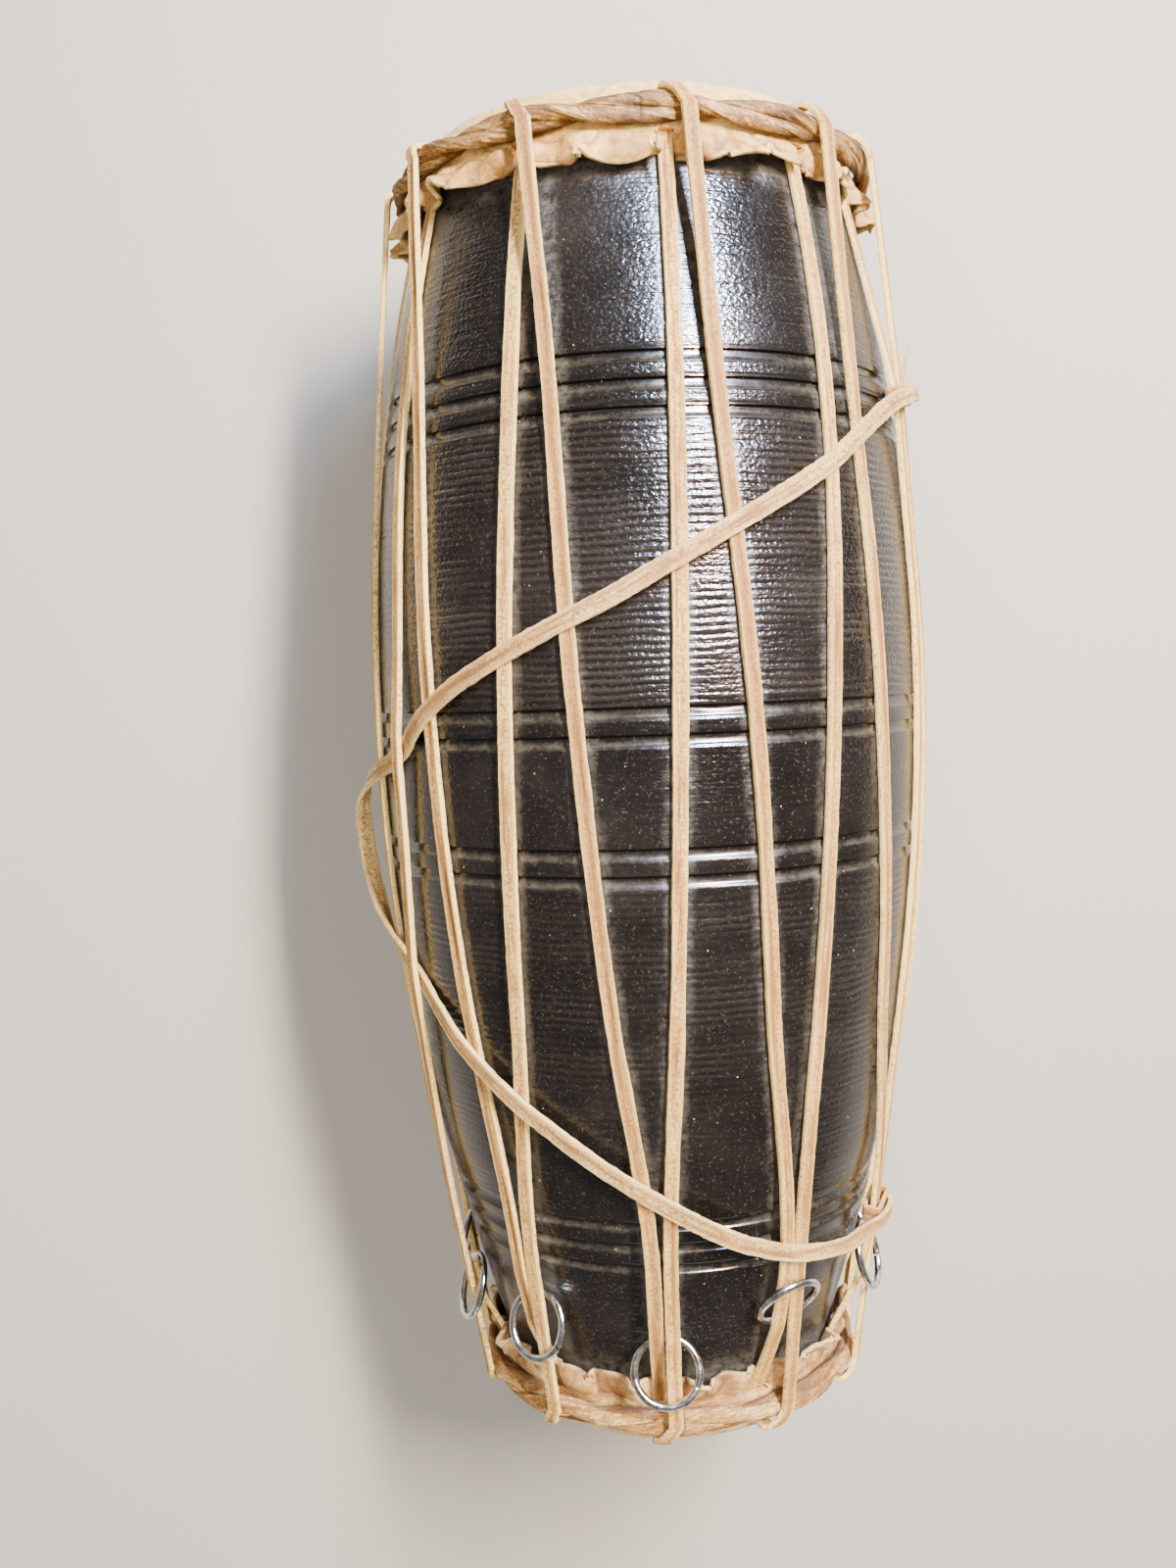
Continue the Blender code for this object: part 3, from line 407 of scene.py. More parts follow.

# %% [markdown]
# ## Rawhide
#
# The thong and the strap are rawhide: a hide that is limed, scraped and cut round and round into one long
# strip. One side is the smooth, pale grain. The other is the fuzzy flesh side, brown and streaked. The cut edges
# are paler than both, and a crease runs along where the strip dried folded; the crease is painted darker, as
# shade. The pattern follows the strip, so it reads numbers that are stored on the mesh: how far along it is, how
# far across, and which side is up.


# %% The rawhide material
def rawhide_material(name, dark, middle, pale, stain, worn):
    """Rawhide strip. It reads along and across in metres, and tone, edge and crease from 0 to 1."""
    material, tree = new_tree(name)
    along, across, tone, edge, crease = (
        add_node(tree, "Attribute", {"attribute_name": key}, None, ATTRIBUTE_NUMBER)
        for key in ("along", "across", "tone", "edge", "crease")
    )
    strip = add_node(tree, "CombineXYZ", None, {"X": along, "Y": across})
    place = add_node(tree, "TexCoord", None, None, OBJECT_PLACE)

    # Fibres are drawn 0.4 mm apart, coarser than real ones, so that they show.
    fibre_map = add_node(tree, "Mapping", None, {"Vector": strip, "Scale": per_mm(11, 0.4, 1)})
    fibres = add_node(tree, "TexNoise", None, {"Vector": fibre_map, "Scale": 1.0, "Detail": 5.0, "Roughness": 0.7})
    streak_map = add_node(tree, "Mapping", None, {"Vector": strip, "Scale": per_mm(45, 1.7, 1)})
    streaks = add_node(tree, "TexNoise", None, {"Vector": streak_map, "Scale": 1.0, "Detail": 3.0})
    pores = add_node(tree, "TexNoise", None, {"Vector": place, "Scale": 1000 / 1.1, "Detail": 1.0, "Roughness": 0.6})
    blotch = add_node(tree, "TexNoise", None, {"Vector": place, "Scale": 1000 / 19, "Detail": 4.0, "Roughness": 0.7})

    tint = add_node(tree, "Math", TIMES_PLUS, {0: tone, 1: -0.30, 2: -0.70})
    tint = add_node(tree, "Math", TIMES_PLUS, {0: fibres, 1: 1.5, 2: tint})
    tint = add_node(tree, "Math", TIMES_PLUS, {0: streaks, 1: 1.35, 2: tint})
    tint = add_node(tree, "MapRange", None, {"Value": tint, "From Min": 0.38, "From Max": 0.80})
    colour = add_node(tree, "ValToRGB", {"stops": ((0.0, dark), (0.5, middle), (1.0, pale))}, {"Fac": tint})

    handled = add_node(tree, "Math", TIMES, {0: tone, 1: 0.62})
    colour = add_node(tree, "Mix", COLOURS, {0: handled, 6: colour, 7: linear(worn)}, MIXED_COLOUR)
    stained = add_node(tree, "MapRange", None, {"Value": blotch, "From Min": 0.50, "From Max": 0.70, "To Max": 0.75})
    colour = add_node(tree, "Mix", COLOURS, {0: stained, 6: colour, 7: linear(stain)}, MIXED_COLOUR)
    speckle = add_node(tree, "MapRange", None, {"Value": pores, "From Min": 0.44, "From Max": 0.64, "To Max": 0.8})
    colour = add_node(tree, "Mix", COLOURS, {0: speckle, 6: colour, 7: linear(stain)}, MIXED_COLOUR)
    # Painted shade: the crease is darkened towards the dark colour.
    crease_painted_shade = add_node(tree, "Math", TIMES, {0: crease, 1: 0.75})
    colour = add_node(tree, "Mix", COLOURS, {0: crease_painted_shade, 6: colour, 7: linear(dark)}, MIXED_COLOUR)
    fuzz = add_node(tree, "MapRange", None, {"Value": pores, "From Min": 0.35, "From Max": 0.6, "To Min": 0.25})
    fuzz = add_node(tree, "Math", TIMES, {0: fuzz, 1: edge})
    colour = add_node(tree, "Mix", COLOURS, {0: fuzz, 6: colour, 7: linear(pale)}, MIXED_COLOUR)

    rough = add_node(tree, "MapRange", None, {
        "Value": pores, "From Min": 0.3, "From Max": 0.7, "To Min": 0.58, "To Max": 0.9})
    bump = add_node(tree, "Bump", None, {"Height": fibres, "Distance": 0.4 * MM})
    bump = add_node(tree, "Bump", None, {"Height": pores, "Distance": 0.3 * MM, "Normal": bump})
    shader = add_node(tree, "BsdfPrincipled", None, {
        "Base Color": colour, "Roughness": rough, "Normal": bump, "IOR": 1.45, "Specular IOR Level": 0.16,
        "Sheen Weight": 0.2, "Sheen Roughness": 0.5, "Sheen Tint": linear("#ffd488")})
    add_node(tree, "OutputMaterial", None, {"Surface": shader})
    return material


THONG_HIDE = rawhide_material("rawhide_thong_limed_and_cut", "#6e4620", "#dda860", "#ffdf90", "#a46c30", "#c8985a")
STRAP_HIDE = rawhide_material("rawhide_strap_folded", "#684624", "#d4a664", "#fcde9c", "#966632", "#bf9460")
TIE_HIDE = rawhide_material("rawhide_tie_worn_and_handled", "#6a4420", "#c28a4c", "#efc284", "#90582a", "#b5844f")

# %% [markdown]
# ## How a flat strip is made
#
# A strip starts as one closed outline, which is extruded from place to place along its route. Each new outline
# is carried over by a matrix, from the frame at the last place to the frame at the next. An operator looks at
# every point of its mesh, so a long strip is made in short runs that are joined at the end. A little noise then
# roughens the cut edges and lets the crease come and go.


# %% Finishing and naming a piece
def add_piece(name, bm, sharp=40):
    """Turns a bmesh into a linked object, shaded smooth up to an angle."""
    mesh = bpy.data.meshes.new(name)
    bm.to_mesh(mesh)
    bm.free()
    mesh.shade_smooth()
    mesh.set_sharp_from_angle(angle=math.radians(sharp))
    piece = bpy.data.objects.new(name, mesh)
    bpy.context.scene.collection.objects.link(piece)
    return piece


def dress(piece, material, body, slot, *nodes):
    """Gives a piece its material, and says what it rides on and the nodes it stands for. Its slot is not used."""
    piece.data.materials.append(material)
    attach(piece, body)
    if nodes:
        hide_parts(*nodes)
    return piece


def join_into(bm, part):
    """Moves one bmesh into another."""
    mesh = bpy.data.meshes.new("part")
    part.to_mesh(mesh)
    part.free()
    bm.from_mesh(mesh)
    bpy.data.meshes.remove(mesh)


# %% The strip's outline, and the strip itself
# Across and up, each as a share of the half width and half thickness, then edge and crease.
STRIP_OUTLINE = (
    (-0.90, -1.00, 0.6, 0.0), (-0.35, -0.98, 0.0, 0.0), (0.10, -0.97, 0.0, 1.0), (0.50, -0.99, 0.0, 0.0),
    (0.90, -1.00, 0.6, 0.0), (1.00, -0.55, 1.0, 0.0), (1.00, 0.50, 1.0, 0.0), (0.90, 0.93, 0.6, 0.0),
    (0.42, 1.00, 0.0, 0.0), (0.02, 0.98, 0.0, 1.0), (-0.45, 0.97, 0.0, 0.0), (-0.90, 0.95, 0.6, 0.0),
    (-1.00, 0.50, 1.0, 0.0), (-1.00, -0.55, 1.0, 0.0),
)
STRIP_RUN = 140
CREASE_DEPTH = 0.55 * MM


def strip_frame(centre, across, out, width, thickness):
    """The matrix that carries the outline to a place on the strip."""
    run = across.cross(out).normalized()
    out = run.cross(across).normalized()
    turn = Matrix((across.normalized() * width / 2, out * thickness / 2, run * MM)).transposed().to_4x4()
    return Matrix.Translation(centre) @ turn


def extrude_outline(frames, lengths, width):
    """One run of a strip as an open tube, and its two end loops."""
    bm = bmesh.new()
    layers = {key: bm.verts.layers.float.new(key) for key in ("along", "across", "edge", "crease")}
    outline = []
    for x, y, edge, crease in STRIP_OUTLINE:
        vert = bm.verts.new(frames[0] @ Vector((x, y, 0)))
        values = {"along": lengths[0], "across": x * width / 2, "edge": edge, "crease": crease}
        for key, value in values.items():
            vert[layers[key]] = value
        outline.append(vert)
    edges = [bm.edges.new((vert, outline[(index + 1) % len(outline)])) for index, vert in enumerate(outline)]
    start = list(edges)
    for before, after, length in zip(frames, frames[1:], lengths[1:]):
        made = bmesh.ops.extrude_edge_only(bm, edges=edges)["geom"]
        verts = [item for item in made if isinstance(item, bmesh.types.BMVert)]
        edges = [item for item in made if isinstance(item, bmesh.types.BMEdge)]
        bmesh.ops.transform(bm, matrix=after @ before.inverted(), verts=verts)
        for vert in verts:
            vert[layers["along"]] = length
    return bm, start, edges


def make_strip(name, frames, tones, folds, closed=False, width=THONG_WIDTH, roughen=0.13 * MM):
    """A flat strip through the frames. Tones and folds give its side and its crease at each frame."""
    lengths = [0.0]
    for before, after in zip(frames, frames[1:]):
        lengths.append(lengths[-1] + (after.translation - before.translation).length)
    bm = bmesh.new()
    for first in range(0, len(frames) - 1, STRIP_RUN):
        last = min(first + STRIP_RUN, len(frames) - 1)
        part, start, end = extrude_outline(frames[first:last + 1], lengths[first:last + 1], width)
        if not closed and first == 0:
            bmesh.ops.edgeloop_fill(part, edges=start)
        if not closed and last == len(frames) - 1:
            bmesh.ops.edgeloop_fill(part, edges=end)
        join_into(bm, part)
    bmesh.ops.remove_doubles(bm, verts=bm.verts, dist=0.01 * MM)
    bmesh.ops.recalc_face_normals(bm, faces=bm.faces)
    bm.normal_update()
    along, edge, crease = (bm.verts.layers.float[key] for key in ("along", "edge", "crease"))
    tone = bm.verts.layers.float.new("tone")
    moves = []
    step = 0
    for vert in bm.verts:
        while step + 1 < len(lengths) and lengths[step + 1] <= vert[along] + 1e-9:
            step += 1
        while step and lengths[step] > vert[along] + 1e-9:
            step -= 1
        vert[tone] = tones[step]
        fold = folds[step] * min(max(0.55 + 1.3 * noise.noise(Vector((vert[along] * 28, 3.0, 1.0))), 0.0), 1.0)
        vert[crease] *= fold
        rough = noise.noise(vert.co * 420) + 0.8 * noise.noise(vert.co * 1500)
        slow = noise.noise(vert.co * 80 + Vector((7, 3, 1)))
        move = roughen * rough * (0.3 + 1.1 * vert[edge]) + 0.12 * MM * slow
        moves.append(vert.normal * (move - CREASE_DEPTH * vert[crease]))
    for vert, move in zip(bm.verts, moves):
        vert.co += move
    piece = add_piece(name, bm)
    print(name, "length", round(lengths[-1], 4), "faces", len(piece.data.polygons))
    return piece, lengths[-1]


# %% [markdown]
# ## The carrying strap
#
# Both ends show in the photograph, so its length is the one that shows. It crosses over the legs of the lacing,
# slips under one of them twice, and bulges past the drum's side between.

# %% The strap's route
# Degrees round the drum, millimetres along it from the belly, and millimetres off the legs. Less than nothing
# means that the strap is under a leg there, on the shell.
STRAP_ROUTE = (
    (67.5, 100.8, 4.8), (61.0, 98.5, 4.6), (54.0, 93.5, 1.4), (44.3, 83.5, 0.0), (34.7, 72.7, 0.0),
    (23.5, 62.0, 0.0), (11.6, 50.8, 0.0), (1.2, 41.0, 0.0), (-8.8, 31.5, 0.0), (-19.5, 23.0, 0.0),
    (-30.6, 13.9, 0.0), (-39.5, 6.2, 0.0), (-47.5, -2.2, 0.0), (-52.6, -8.0, -1.1), (-57.6, -14.0, -2.3),
    (-64.0, -19.0, -1.2), (-71.5, -23.0, 0.6), (-79.5, -28.5, 3.0), (-85.0, -37.5, 5.0), (-87.5, -50.0, 5.6),
    (-86.5, -64.0, 4.4), (-81.0, -76.0, 2.0), (-74.0, -83.5, 0.3), (-68.0, -89.0, -1.2), (-62.3, -94.5, -2.3),
    (-54.5, -103.5, -1.2), (-46.5, -114.5, 0.0), (-35.1, -128.9, 0.0), (-24.5, -140.5, 0.0),
    (-14.5, -151.4, 0.0), (-2.5, -163.5, 0.0), (10.6, -175.8, 0.0), (20.0, -182.0, 0.0), (29.5, -186.5, 0.0),
    (43.6, -190.0, 0.0), (53.0, -189.2, 0.4), (59.0, -188.2, 2.6), (65.5, -186.8, 2.6), (69.5, -186.0, 0.4),
)
PLAIN_LEGS = (8, 9)
STRAP_STEPS = 12
NEAR_SMALL_END = -150 * MM


def strap_point(degrees, place_mm, extra_mm):
    """A point on the strap's middle line."""
    place, extra = place_mm * MM, extra_mm * MM
    if extra < 0:
        radius = shell_radius(place) + THONG_GAP + THONG_THICKNESS + GAP
    else:
        radius = max(on_line(LEG_LINES[leg], place) for leg in PLAIN_LEGS) + THONG_THICKNESS / 2 + GAP
        if place < NEAR_SMALL_END:
            radius += GAP
    return on_drum(degrees, radius + STRAP_THICKNESS / 2 + extra, place)


def smooth_line(points, steps):
    """A smooth line through points, with a number of steps between each pair."""
    line = []
    for index in range(len(points) - 1):
        p0 = points[max(index - 1, 0)]
        p1, p2 = points[index], points[index + 1]
        p3 = points[min(index + 2, len(points) - 1)]
        for step in range(steps):
            t = step / steps
            line.append(0.5 * (
                2 * p1 + (p2 - p0) * t + (2 * p0 - 5 * p1 + 4 * p2 - p3) * t**2
                + (3 * p1 - p0 - 3 * p2 + p3) * t**3
            ))
    line.append(points[-1])
    return line


def outward_at(point):
    """Direction straight out of the shell at a point."""
    place = point.y - BELLY_Y
    radial = Vector((point.x, 0, point.z - AXIS_Z)).normalized()
    arc = LARGE_ARC if place > 0 else SMALL_ARC
    return (radial + Vector((0, place / arc, 0))).normalized()


STRAP_LINE = smooth_line([strap_point(*point) for point in STRAP_ROUTE], STRAP_STEPS)
print("strap points", len(STRAP_LINE))

# %% [markdown]
# The strap rolls as it runs. It lies flat on the legs, turns its inner side up along the loop beside the drum,
# and stands on its edge just before the lower tie. Its tone goes from the pale grain side near the upper tie to
# the brown side near the lower tie. Along the loop, where the inner side is turned up and lies in shade, its tone
# is set to the palest, which paints light onto it.

# %% The strap
# Points of the route, and the roll in degrees, the tone and the fold there.
STRAP_ROLL = ((0, 0), (12, 0), (15, -4), (16, 4), (17, 30), (18, 66), (19, 82), (20, 80), (21, 44), (22, 14),
              (23, 0), (31, 0), (32, -10), (33, -30), (34, -62), (35, -42), (36, -12), (38, 0))
# On the loop (points 17 to 20) the tone is 0, the palest, which paints light onto the inner side where it lies in
# shade.
STRAP_TONE_AND_PAINTED_LIGHT = ((0, 0.15), (5, 0.3), (9, 0.5), (13, 0.7), (15, 0.4), (17, 0), (20, 0), (22, 0.5), (24, 0.45), (28, 0.4),
              (33, 0.5), (35, 0.9), (38, 1.0))
# The strap's width as a share of its full width. It was pulled tight and narrow into the ties.
STRAP_NARROW = ((0, 0.82), (2, 1.0), (32, 1.0), (34, 0.86), (36, 0.74), (38, 0.68))
STRAP_FOLD = ((0, 0.1), (7, 0.2), (10, 0.9), (14, 1.0), (17, 0.6), (20, 0.0), (24, 0.2), (30, 0.15), (38, 0.1))


def strap_values(stops):
    """The value of a list of stops at each point of the strap's line."""
    return [smooth_value(stops, index / STRAP_STEPS) for index in range(len(STRAP_LINE))]


def strap_frames():
    """The strap's frames, turned about its run by the roll at each point."""
    frames = []
    widths = strap_values(STRAP_NARROW)
    for index, (point, roll) in enumerate(zip(STRAP_LINE, strap_values(STRAP_ROLL))):
        before, after = STRAP_LINE[max(index - 1, 0)], STRAP_LINE[min(index + 1, len(STRAP_LINE) - 1)]
        run = (after - before).normalized()
        out = outward_at(point)
        out = Matrix.Rotation(math.radians(roll), 3, run) @ (out - out.dot(run) * run).normalized()
        frames.append(strip_frame(point, out.cross(run), out, STRAP_WIDTH * widths[index], STRAP_THICKNESS))
    return frames


strap, strap_length = make_strip(
    "carrying_strap_strip", strap_frames(), strap_values(STRAP_TONE_AND_PAINTED_LIGHT), strap_values(STRAP_FOLD),
    width=STRAP_WIDTH, roughen=0.17 * MM,
)
dress(strap, STRAP_HIDE, "drum", "strap", "carrying_strap")

# %% [markdown]
# At each end the strap is wound round a pair of legs. The band is drawn as a closed loop of the same strip. The
# upper one leaves a stub and a thin dry tail standing up beside the legs, and the lower one a short thin tail
# that hangs down.


# %% The two ties
def tie_frames(legs, place, width, slant):
    """A closed band round two legs. The slant makes it lean along the drum."""
    middles = [on_line(LEG_LINES[leg], place) for leg in legs]
    middle = sum(middles) / 2
    ends = place - width / 2, place + width / 2
    first = min(leg_angle(legs[0], end) for end in ends)
    last = max(leg_angle(legs[1], end) for end in ends)
    degrees = (first + last) / 2
    room = GAP + TIE_ROOM + TIE_THICKNESS / 2
    half_width = math.radians(last - first) * middle / 2 + THONG_WIDTH / 2 + room
    half_height = abs(middles[1] - middles[0]) / 2 + THONG_THICKNESS / 2 + room
    across = across_drum(degrees)
    centre = on_drum(degrees, middle, place)
    line = LEG_LINES[legs[0]]
    rise = (on_line(line, place + width / 2) - on_line(line, place - width / 2)) / width
    radial = (centre - Vector((0, centre.y, AXIS_Z))).normalized()
    along = (Vector((0, 1, 0)) + radial * rise).normalized()
    out = along.cross(across) if along.cross(across).dot(radial) > 0 else across.cross(along)
    frames = []
    for x_side, y_side, start in ((1, 1, 0), (-1, 1, 90), (-1, -1, 180), (1, -1, 270)):
        for bend in range(0, 91, 15):
            turn = math.radians(start + bend)
            x = x_side * (half_width - TIE_CORNER) + TIE_CORNER * math.cos(turn)
            y = y_side * (half_height - TIE_CORNER) + TIE_CORNER * math.sin(turn)
            face = across * math.cos(turn) + out * math.sin(turn)
            lean = along * (slant * x / half_width)
            frames.append(strip_frame(centre + across * x + out * y + lean, along, face, width, TIE_THICKNESS))
    return frames + frames[:1]


TIE_WIDTH = 6 * MM
TIE_ROOM = 0.4 * MM
TIE_CORNER = 1.2 * MM
for name, legs, place, slant in (("strap_tie_large", LARGE_TIE_LEGS, LARGE_TIE_PLACE, 0.6 * MM),
                                 ("strap_tie_small", SMALL_TIE_LEGS, SMALL_TIE_PLACE, 1.6 * MM)):
    frames = tie_frames(legs, place, TIE_WIDTH, slant)
    band, _ = make_strip(f"{name}_band", frames, [0.7] * len(frames), [0.3] * len(frames), closed=True,
                         width=TIE_WIDTH)
    dress(band, TIE_HIDE, "drum", "strap", name)

# %% The ties' stub and tails
# For each: its points as degrees, millimetres along and millimetres off the shell, then its width and thickness.
TIE_ENDS = {
    "strap_tie_large_stub": (((71.8, 101.5, 6.0), (72.6, 106.0, 6.4), (73.0, 110.0, 6.2), (72.8, 113.2, 6.8)), 4.6, 1.4),
    "strap_tie_large_tail": (((73.4, 110.5, 6.2), (74.6, 114.5, 7.2), (75.6, 118.0, 8.6), (76.2, 121.0, 9.6)), 1.5, 0.8),
    "strap_tie_small_tail": (((69.5, -188.5, 6.4), (70.8, -193.0, 7.0), (71.6, -198.0, 6.8), (70.6, -201.5, 6.2)), 1.3, 0.8),
}
TAIL_STEPS = 8
for name, (route, width_mm, thickness_mm) in TIE_ENDS.items():
    points = [on_drum(degrees, shell_radius(place * MM) + off * MM, place * MM) for degrees, place, off in route]
    line = smooth_line(points, TAIL_STEPS)
    frames = []
    for index, point in enumerate(line):
        run = (line[min(index + 1, len(line) - 1)] - line[max(index - 1, 0)]).normalized()
        out = outward_at(point)
        out = (out - out.dot(run) * run).normalized()
        taper = 1 - 0.45 * (index / (len(line) - 1)) ** 2
        frames.append(strip_frame(point, out.cross(run), out, width_mm * MM * taper, thickness_mm * MM * taper))
    tail, _ = make_strip(name, frames, [0.75] * len(frames), [0.8] * len(frames), width=width_mm * MM,
                         roughen=0.2 * MM)
    dress(tail, TIE_HIDE, "drum", "strap")

# %% [markdown]
# ## The lacing
#
# The lacing is one thong. It goes up one leg, dips under the large hoop, turns round it and comes back over it,
# and does the same at the small hoop, eleven times. The route is worked out point by point from the taut lines
# and the leg angles above. Each leg shows more of one side of the hide or of the other, as in the photograph.

# %% The lacing's route
LEG_STEP = 2.4 * MM
# Tone at the large end and at the small end of a leg, and its fold. Legs not named here come from noise.
LEG_LOOKS = {
    0: (0.0, 0.35, 0.0), 1: (0.85, 0.7, 0.8), 2: (0.1, 0.5, 0.1), 3: (1.0, 0.3, 0.7), 4: (0.05, 0.8, 0.1),
    5: (0.65, 0.55, 0.4), 6: (0.35, 0.25, 0.1), 7: (0.5, 0.3, 0.9), 19: (0.4, 0.5, 0.2), 20: (0.2, 0.4, 0.2),
    21: (0.35, 0.6, 1.0),
}


def leg_look(leg):
    """Tone at the large end, tone at the small end, and fold of a leg."""
    if leg in LEG_LOOKS:
        return LEG_LOOKS[leg]
    return tuple(0.4 + 0.8 * noise.noise(Vector((leg * 1.7, row, 0.4))) for row in range(3))


def wrap_path(head):
    """The (place, radius) path of the thong round a hoop, from under it to over it, and its corner's last step."""
    wrap = HOOP_HEIGHT / 2 + LEG_BASE
    bend = 1.8 * MM
    path = [(head.hoop, head.under_leg)]
    for degrees in range(-90, 1, 15):
        turn = math.radians(degrees)
        path.append((
            head.hoop + wrap - bend + bend * math.cos(turn), head.under_leg + bend + bend * math.sin(turn),
        ))
    corner = len(path)
    depth = head.over_leg - head.hoop_middle
    for degrees in range(5, 90, 10):
        turn = math.radians(degrees)
        path.append((head.hoop + wrap * math.cos(turn), head.hoop_middle + depth * math.sin(turn)))
    path.append((head.hoop, head.over_leg))
    return path, corner


def lacing_points():
    """The whole lacing as (place, radius, degrees, tone, fold), up the even legs and down the odd ones."""
    points = []
    turn = 0.0
    low, high = -SMALL.hoop + 3 * MM, LARGE.hoop - 3 * MM
    steps = round((high - low) / LEG_STEP)
    for leg in range(LEGS):
        head = LARGE if leg % 2 == 0 else SMALL
        large_tone, small_tone, fold = leg_look(leg)
        for step in range(steps + 1):
            share = step / steps if head is LARGE else 1 - step / steps
            place = low + (high - low) * share
            turn = same_turn(leg_angle(leg, place), turn)
            tone = small_tone + (large_tone - small_tone) * share
            points.append((place, on_line(LEG_LINES[leg], place), turn, tone, fold))
        apex = leg // 2 if head is LARGE else (leg // 2 + 1) % APEXES
        under = same_turn(hoop_angle(head, apex, over=False), turn)
        over = same_turn(hoop_angle(head, apex, over=True), turn)
        path, corner = wrap_path(head)
        next_look = leg_look((leg + 1) % LEGS)
        next_tone = next_look[0] if head is LARGE else next_look[1]
        for index, (place, radius) in enumerate(path):
            share = min(max((index - corner) / (len(path) - 1 - corner), 0.0), 1.0)
            tone = points[-1][3] + (next_tone - points[-1][3]) * share
            points.append((head.side * place, radius, under + (over - under) * share, tone, fold * (1 - share)))
        turn = over
    return points


# %% The lacing
points = lacing_points()
frames = []
for index, (place, radius, degrees, _, _) in enumerate(points):
    before, after = points[index - 1], points[(index + 1) % len(points)]
    run = Vector((after[0] - before[0], after[1] - before[1])).normalized()
    turn = math.radians(degrees)
    radial = Vector((math.sin(turn), 0, math.cos(turn)))
    out = radial * run.x - Vector((0, 1, 0)) * run.y
    width = THONG_WIDTH * (1 + 0.10 * noise.noise(Vector((place * 22, degrees * 0.8, 0.5))))
    frames.append(strip_frame(on_drum(degrees, radius, place), across_drum(degrees), out, width, THONG_THICKNESS))
tones = [point[3] for point in points]
folds = [point[4] for point in points]
lacing, _ = make_strip("lacing_thong_strip", frames + frames[:1], tones + tones[:1], folds + folds[:1], closed=True)
dress(lacing, THONG_HIDE, "drum", "lacing", "lacing_thong")

# %% [markdown]
# ## The shell
#
# The shell was turned on a lathe, so its outline is spun round the axis. Ten grooves are cut in four groups. A
# groove drops steeply on the side of the large head and rises slowly on the other, so its near side is dark and
# its far side catches the light. Dust lies in the grooves and beside the thongs, and the mesh stores how much. The
# steep near side of each groove is also painted dark, as shade, and the same number on the mesh marks it.


# %% Turning an outline round the drum's axis
def spin_outline(outline, steps):
    """Spins a line of (place, radius) points round the drum's axis."""
    bm = bmesh.new()
    verts = [bm.verts.new(on_drum(0, radius, place)) for place, radius in outline]
    edges = [bm.edges.new(pair) for pair in zip(verts, verts[1:])]
    bmesh.ops.spin(
        bm, geom=verts + edges, cent=AXIS_POINT, axis=(0, 1, 0), angle=math.tau, steps=steps, use_merge=True,
    )
    bmesh.ops.remove_doubles(bm, verts=bm.verts, dist=0.001 * MM)
    return bm


# %% The shell's outline with its grooves
GROOVES_MM = (105.4, 96.7, 87.9, -3.6, -12.2, -47.6, -56.2, -173.6, -181.6, -189.6)
GROOVE_WIDTH = 3.4 * MM
GROOVE_DEPTH = 1.0 * MM
# Across the groove as a share of its width, and its depth as a share of the full depth.
GROOVE_SHAPE = ((0.66, -0.04), (0.52, -0.02), (0.47, 0.30), (0.42, 0.92), (0.30, 1.0), (0.10, 0.95), (-0.10, 0.86),
                (-0.28, 0.70), (-0.41, 0.44), (-0.49, 0.18), (-0.55, 0.0), (-0.62, -0.07), (-0.76, -0.03))
OUTLINE_STEP = 2.5 * MM
SHELL_STEPS = 216
WALL_AT_MOUTH = 9 * MM
WALL_AT_BELLY = 14 * MM
LIP_ROUNDING = 1.5 * MM
# Where the rings slide the wood is a little slimmer, so that no ring scrapes it.
RING_ROOM = 0.45 * MM
RING_STRETCH = -160 * MM
RING_STRETCH_BLEND = 8 * MM


def wood_radius(place):
    """Outside radius of the wood, drawn in where the rings slide."""
    share = min(max((RING_STRETCH - place) / RING_STRETCH_BLEND, 0.0), 1.0)
    return shell_radius(place) - share * RING_ROOM


def shell_outline():
    """The closed outline of the wall, outside with grooves and inside without."""
    outer = []
    place = -SMALL_MOUTH + LIP_ROUNDING
    while place < LARGE_MOUTH - LIP_ROUNDING:
        if all(abs(place - groove * MM) > 0.8 * GROOVE_WIDTH for groove in GROOVES_MM):
            outer.append((place, wood_radius(place)))
        place += OUTLINE_STEP
    for groove in GROOVES_MM:
        for offset, depth in GROOVE_SHAPE:
            place = groove * MM + offset * GROOVE_WIDTH
            outer.append((place, wood_radius(place) - depth * GROOVE_DEPTH))
    outer.sort()
    inner = []
    for step in range(25):
        share = 1 - 2 * step / 24
        place = share * (LARGE_MOUTH if share > 0 else SMALL_MOUTH)
        wall = WALL_AT_BELLY + (WALL_AT_MOUTH - WALL_AT_BELLY) * abs(share)
        inner.append((place, shell_radius(place) - wall))
    lips = {}
    for head in HEADS:
        lips[head.side] = [
            (head.side * (head.mouth - 0.4 * LIP_ROUNDING), head.mouth_radius - 0.1 * LIP_ROUNDING),
            (head.side * head.mouth, head.mouth_radius - LIP_ROUNDING),
        ]
    outline = lips[-1][::-1] + outer + lips[1] + inner
    return outline + outline[:1]


def beside_thongs(place, degrees, leg_places):
    """Distance round the shell from the nearest edge of a thong."""
    near = min(abs((degrees - angle + 180) % 360 - 180) for angle in leg_places)
    return max(math.radians(near) * shell_radius(place) - THONG_WIDTH / 2, 0.0)


